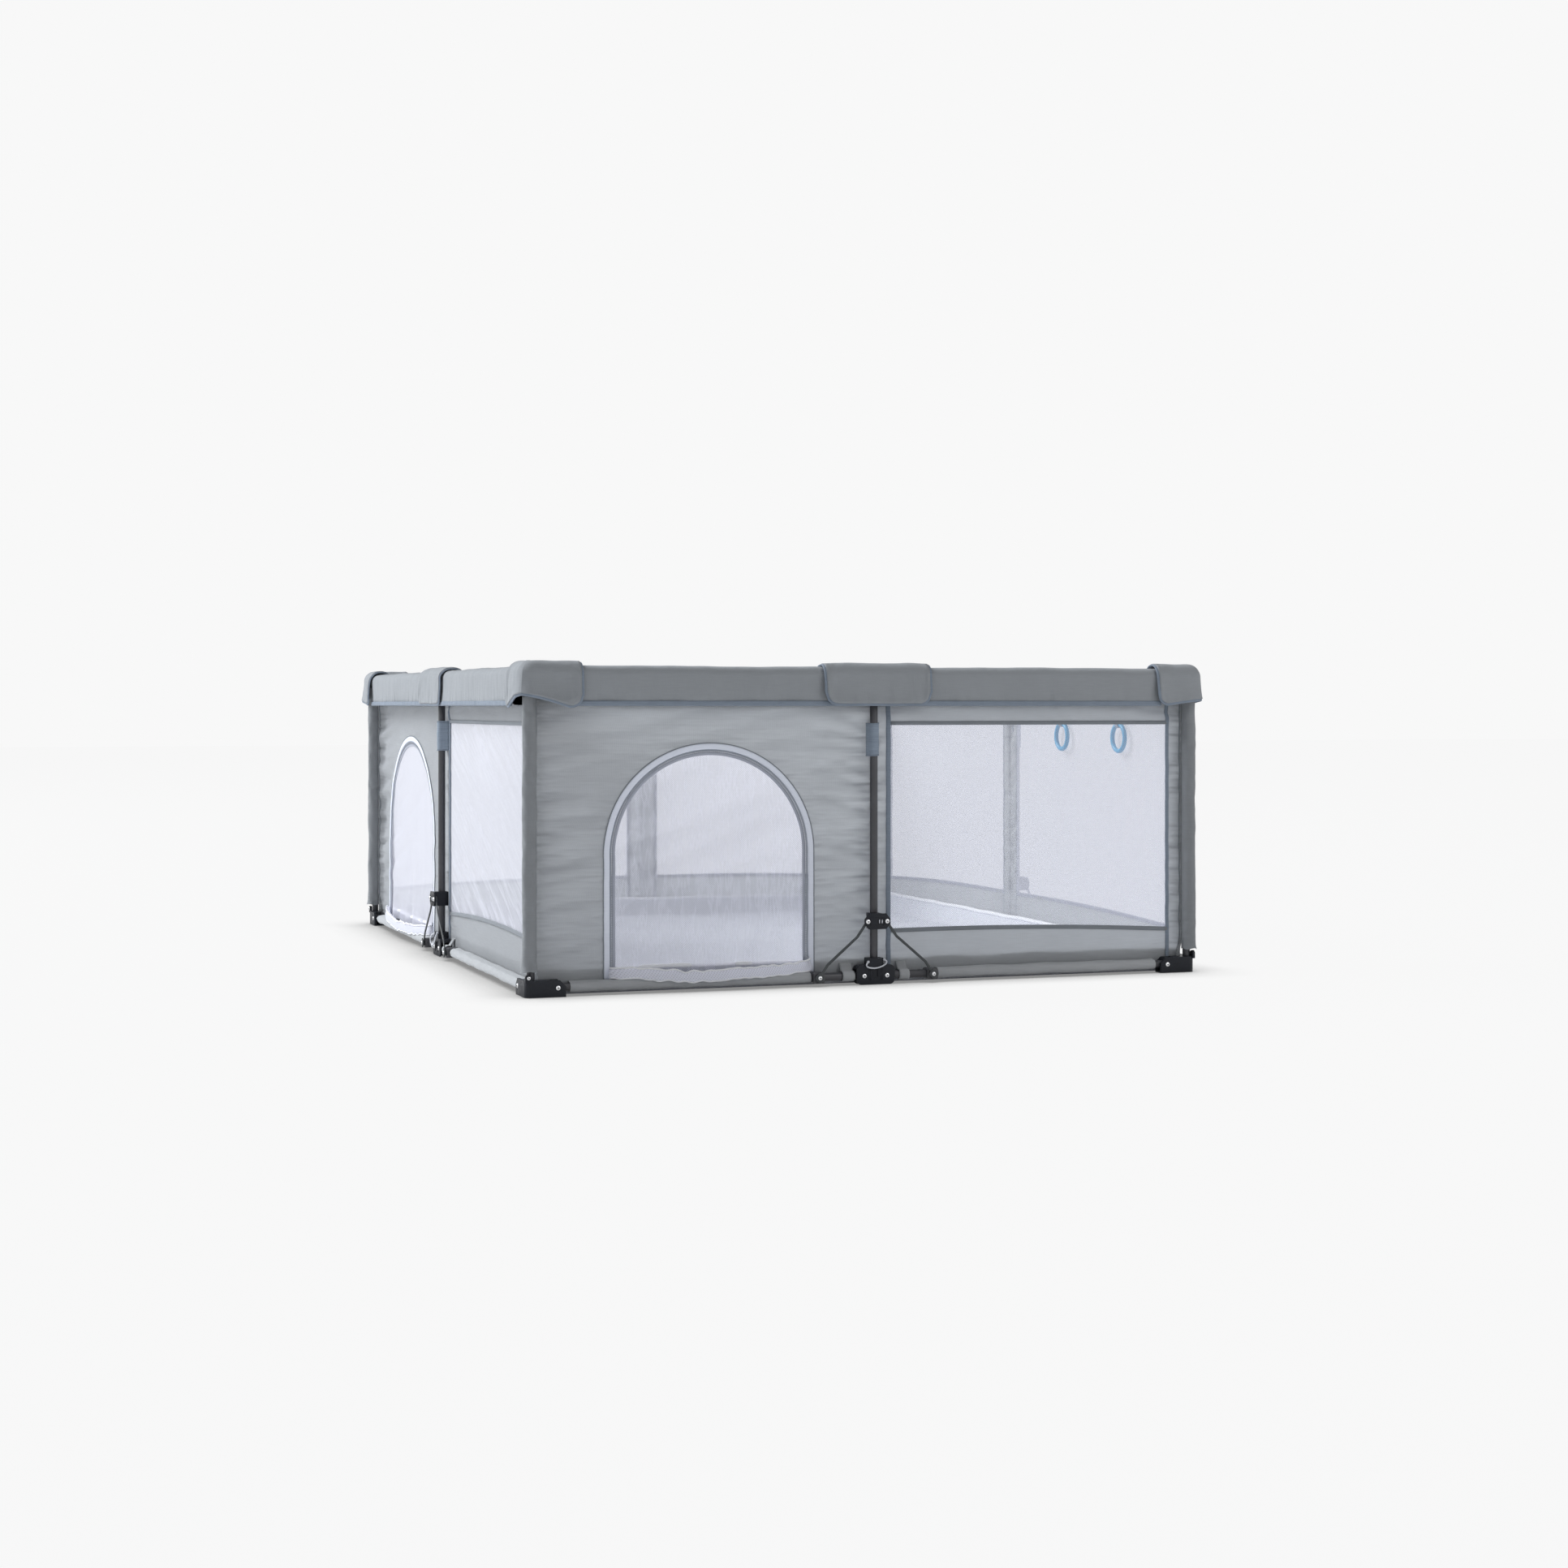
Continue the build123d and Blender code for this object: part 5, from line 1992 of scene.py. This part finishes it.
print("cord helpers ready")

# %% Pull cords


def cord_loop(side):
    place = side_matrix(side)
    points = [place @ Vector(p) for p in LOOPS[side]]
    made = cord_curve("pull_cord_" + side, points)
    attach(made, "mid_" + side)
    length = curve_length(made.data)
    print("cord", side, round(length, 4), "m")
    knots = join_objects("cord_knots_" + side, [knot(LOOPS[side][0]), knot(LOOPS[side][-1])])
    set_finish(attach(place_mesh(knots, place), "mid_" + side), "white_mesh")


for side in SIDES:
    cord_loop(side)

# %% [markdown]
# The floor mat is a thin padded cloth, sewn across into four panels and resting on the floor. It reaches to
# all four corner posts, which close in as the pen folds, so its points are shared between the four by their
# weights. Laid as an open sheet it would show a dark gap at its edge. So the pad is closed below.

# %% How the mat follows the corners
MAT_GAP = 0.0215
MAT_X, MAT_Y = POST_X - MAT_GAP, POST_Y - MAT_GAP


def ride_mat(made):
    """Shared between the four corners: by hooks for three, over a ride on the fourth."""
    shares = {"corner_front_right": [], "corner_back_right": [], "corner_back_left": []}
    for vertex in made.data.vertices:
        u = max(0.0, min(1.0, (vertex.co.x + MAT_X) / (2 * MAT_X)))
        v = max(0.0, min(1.0, (vertex.co.y + MAT_Y) / (2 * MAT_Y)))
        shares["corner_front_right"].append(u * (1 - v))
        shares["corner_back_right"].append(u * v)
        shares["corner_back_left"].append((1 - u) * v)
    for body, weights in shares.items():
        follow(made, body, weights)
    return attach(made, "corner_front_left")


print("mat", round(2 * MAT_X, 3), "x", round(2 * MAT_Y, 3), "m, shared between four corners")

# %% Floor mat
MAT_SEAMS = (-0.43, 0.0, 0.43)
MAT_STEP = 0.0165
MAT_BORDER = 0.06  # the strip round the edge with points of its own
MAT_FOOT = 0.0016


def mat_height(x, y):
    seam = min(abs(y - s) for s in MAT_SEAMS)
    pad = 0.0028 * (1 - exp(-seam / 0.018))
    soft = wrinkle(x * 7 + y * 2, y * 6, 71) * 0.0026 + wrinkle(x * 15, y * 17 - x * 6, 77) * 0.0016
    edge = min(MAT_X - abs(x), MAT_Y - abs(y))
    return 0.0044 + pad + soft * min(1.0, edge / 0.05)


def closed_pad(name, rows, foot, material):
    """A pad with its top on rows of points, closed down to a flat foot."""
    across = len(rows[0])
    loop = 2 * across
    points, faces = [], []
    for row in rows:
        points += row + [Vector((p.x, p.y, foot)) for p in reversed(row)]
    for i in range(len(rows) - 1):
        for j in range(loop):
            here, there = i * loop, (i + 1) * loop
            faces.append((here + j, here + (j + 1) % loop, there + (j + 1) % loop, there + j))
    last = (len(rows) - 1) * loop
    for j in range(across - 1):
        faces.append((j, loop - 1 - j, loop - 2 - j, j + 1))
        faces.append((last + j, last + j + 1, last + loop - 2 - j, last + loop - 1 - j))
    return add_object(name, points, faces, material)


mat_xs = spaced(-MAT_X, -MAT_X + MAT_BORDER, MAT_X - MAT_BORDER, MAT_X, step=MAT_STEP)
mat_ys = spaced(-MAT_Y, -MAT_Y + MAT_BORDER, *MAT_SEAMS, MAT_Y - MAT_BORDER, MAT_Y, step=MAT_STEP)
mat_rows = [[Vector((x, y, mat_height(x, y))) for x in mat_xs] for y in mat_ys]
floor_mat = closed_pad("floor_mat_cloth", mat_rows, MAT_FOOT, mat_cloth)
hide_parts("floor_mat")
ride_mat(floor_mat)
print("mat cloth of", len(mat_xs), "x", len(mat_ys), "points")

# %% [markdown]
# The mat's edge is turned up as a rim, which leans outwards on the walls from a fold a little way in, and
# ends in a white tape. The mat's own border could be bent up, but its corners would then stretch. A second
# grid follows the outline instead, and the tape is swept along its top. Flat tapes cover the three seams.

# %% Rim and seams of the mat
MAT_RIM = 0.0495
RIM_ROWS = 8
RIM_THICK = 0.0016


def mat_outline():
    """Once round the mat, on the points of its grid."""
    line = [Vector((x, -MAT_Y, 0)) for x in mat_xs[:-1]] + [Vector((MAT_X, y, 0)) for y in mat_ys[:-1]]
    line += [Vector((x, MAT_Y, 0)) for x in reversed(mat_xs[1:])]
    return line + [Vector((-MAT_X, y, 0)) for y in reversed(mat_ys[1:])]


def rim_row(p):
    """The rim at one point of the outline, from the fold to the top."""
    lean = 0.044 + 0.008 * wrinkle(p.x * 8, p.y * 8, 5)
    row = []
    for k in range(RIM_ROWS + 1):
        s = k / RIM_ROWS
        z = 0.0025 + (MAT_RIM - 0.003 - 0.003 * wrinkle(p.x * 9, p.y * 9, 12)) * s
        inset = 0.0016 + lean * (1 - s) ** 1.5 + 0.0024 * wrinkle(p.x * 22 + s, p.y * 22, 8) * s
        row.append(Vector((p.x * (1 - inset / MAT_X), p.y * (1 - inset / MAT_Y), z)))
    return row


def mat_rim():
    rows = [rim_row(p) for p in mat_outline()]
    rim = ride_mat(grid_object("floor_mat_rim", rows + rows[:1], rim_cloth))
    thicken(rim, RIM_THICK)
    tops = [row[-1] for row in rows]
    up = Vector((0, 0, 1))
    edge = sweep_object("floor_mat_edge", tops, up, 0.0054, 0.0044, edge_white, closed=True)
    ride_mat(edge)


def mat_seams():
    xs = spaced(-MAT_X + 0.004, MAT_X - 0.004, step=0.02)
    up = Vector((0, 0, 1))
    seams = []
    for y in MAT_SEAMS:
        line = [Vector((x, y, mat_height(x, y) + 0.0004)) for x in xs]
        seams.append(sweep_object("seam", line, up, 0.0045, 0.0009, mat_cloth, sides=8))
    ride_mat(join_objects("floor_mat_seams", seams))


mat_rim()
mat_seams()
print(len(MAT_SEAMS), "seams across the mat")

# %% [markdown]
# Two light blue pull rings hang inside the right side, for a child to pull up on. Each is a moulded ring
# with a thicker eye at its top, on a doubled strap from the cover's hem. A torus could make the ring, but
# not the eye. The sweep that made the tapes makes both, with a round section, and the strap as well.

# %% Pull rings
RING_R, RING_THICK = 0.030, 0.0050
RING_PLANE, RING_PIVOT = 0.030, 0.530
RING_POINTS = 56
RING_PLACES = (0.259, 0.551)  # from the front corner post


def ring_shape(at):
    """A ring and the eye at its top."""
    centre = Vector((at, RING_PLANE, RING_PIVOT - RING_R))
    turns = [2 * pi * k / RING_POINTS for k in range(RING_POINTS)]
    line = [centre + Vector((RING_R * cos(a), 0, RING_R * sin(a))) for a in turns]
    ring = sweep_object(
        "ring", line, SIDE_OUT, RING_THICK, RING_THICK, blue_plastic, sides=20, closed=True, square=1.0
    )
    top = centre + Vector((0, 0, RING_R))
    line = [top + Vector((x, 0, 0)) for x in (-0.0082, -0.0076, 0.0076, 0.0082)]
    widths = [RING_THICK + more for more in (0.0003, 0.0012, 0.0012, 0.0003)]
    thick = RING_THICK + 0.0010
    eye = sweep_object("eye", line, SIDE_OUT, lambda i: widths[i], thick, blue_plastic, sides=20, square=0.9)
    return [ring, eye]


def ring_strap(at):
    """A doubled strap from inside the hem down to the ring's eye."""
    r = RING_THICK + 0.0022
    turns = [pi - 0.2 + k * (pi + 0.4) / 12 for k in range(13)]
    line = [Vector((at, 0.0190, 0.590)), Vector((at, 0.0215, 0.575))]
    line.append(Vector((at, RING_PLANE - r * 0.8, RING_PIVOT + 0.012)))
    line += [Vector((at, RING_PLANE + r * cos(a), RING_PIVOT + r * sin(a))) for a in turns]
    line.append(Vector((at, RING_PLANE - r * 0.2, RING_PIVOT + 0.014)))
    line += [Vector((at, 0.0245, 0.575)), Vector((at, 0.0225, 0.590))]
    facing = [Vector((0, -1, 0.05)).normalized()] * 3
    facing += [Vector((0, p.y - RING_PLANE, p.z - RING_PIVOT)).normalized() for p in line[3:16]]
    facing += [Vector((0, 1, 0.05)).normalized()] * 3
    return sweep_object("strap", line, facing, 0.0072, 0.0008, strap_cloth)


rings, straps = [], []
for from_corner in RING_PLACES:
    at = from_corner - POST_Y
    rings += ring_shape(at)
    straps.append(ring_strap(at))
made = place_mesh(join_objects("pull_ring_pair", rings), side_matrix("right"))
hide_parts("pull_rings")
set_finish(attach(made, "pull_rings"), "blue_plastic")
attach(place_mesh(join_objects("ring_straps", straps), side_matrix("right")), "top_rail_right_front")
print(len(straps), "pull rings,", 2 * (RING_R + RING_THICK), "m across")

# %% [markdown]
# A part of the library is recoloured by its slots, such as the grey cloth or the white net. Each piece
# could name its slot where it is made. As cloth pieces that share a finish also share a slot, a list
# from finish to slot says it in one place.

# %% Slots
FINISHES_OF_SLOT = {
    "grey_oxford": (
        "wall_oxford", "sleeve_oxford", "hem_oxford", "strap_tape", "window_piping",
        "zip_tape", "zip_band", "zip_plastic",
    ),
    "grey_padding": ("padded_oxford", "binding_tape"),
    "mat_fabric": ("mat_cloth", "mat_rim_cloth", "mat_edge_tape"),
    "white_mesh": (
        "window_net", "front_net", "pulled_net", "door_net", "long_door_net", "gathered_hem", "pale_tape",
    ),
}
SLOT_OF = {finish: slot for slot, finishes in FINISHES_OF_SLOT.items() for finish in finishes}
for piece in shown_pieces():
    if "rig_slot" in piece or "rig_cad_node" in piece:
        continue
    finish = piece.data.materials[0].name if piece.data.materials else ""
    if finish in SLOT_OF:
        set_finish(piece, SLOT_OF[finish])

# %% [markdown]
# The padding should add only millimetres to the pen's size. The last step sets the scene's view
# transform to Standard.

bpy.context.scene.view_settings.view_transform = "Standard"
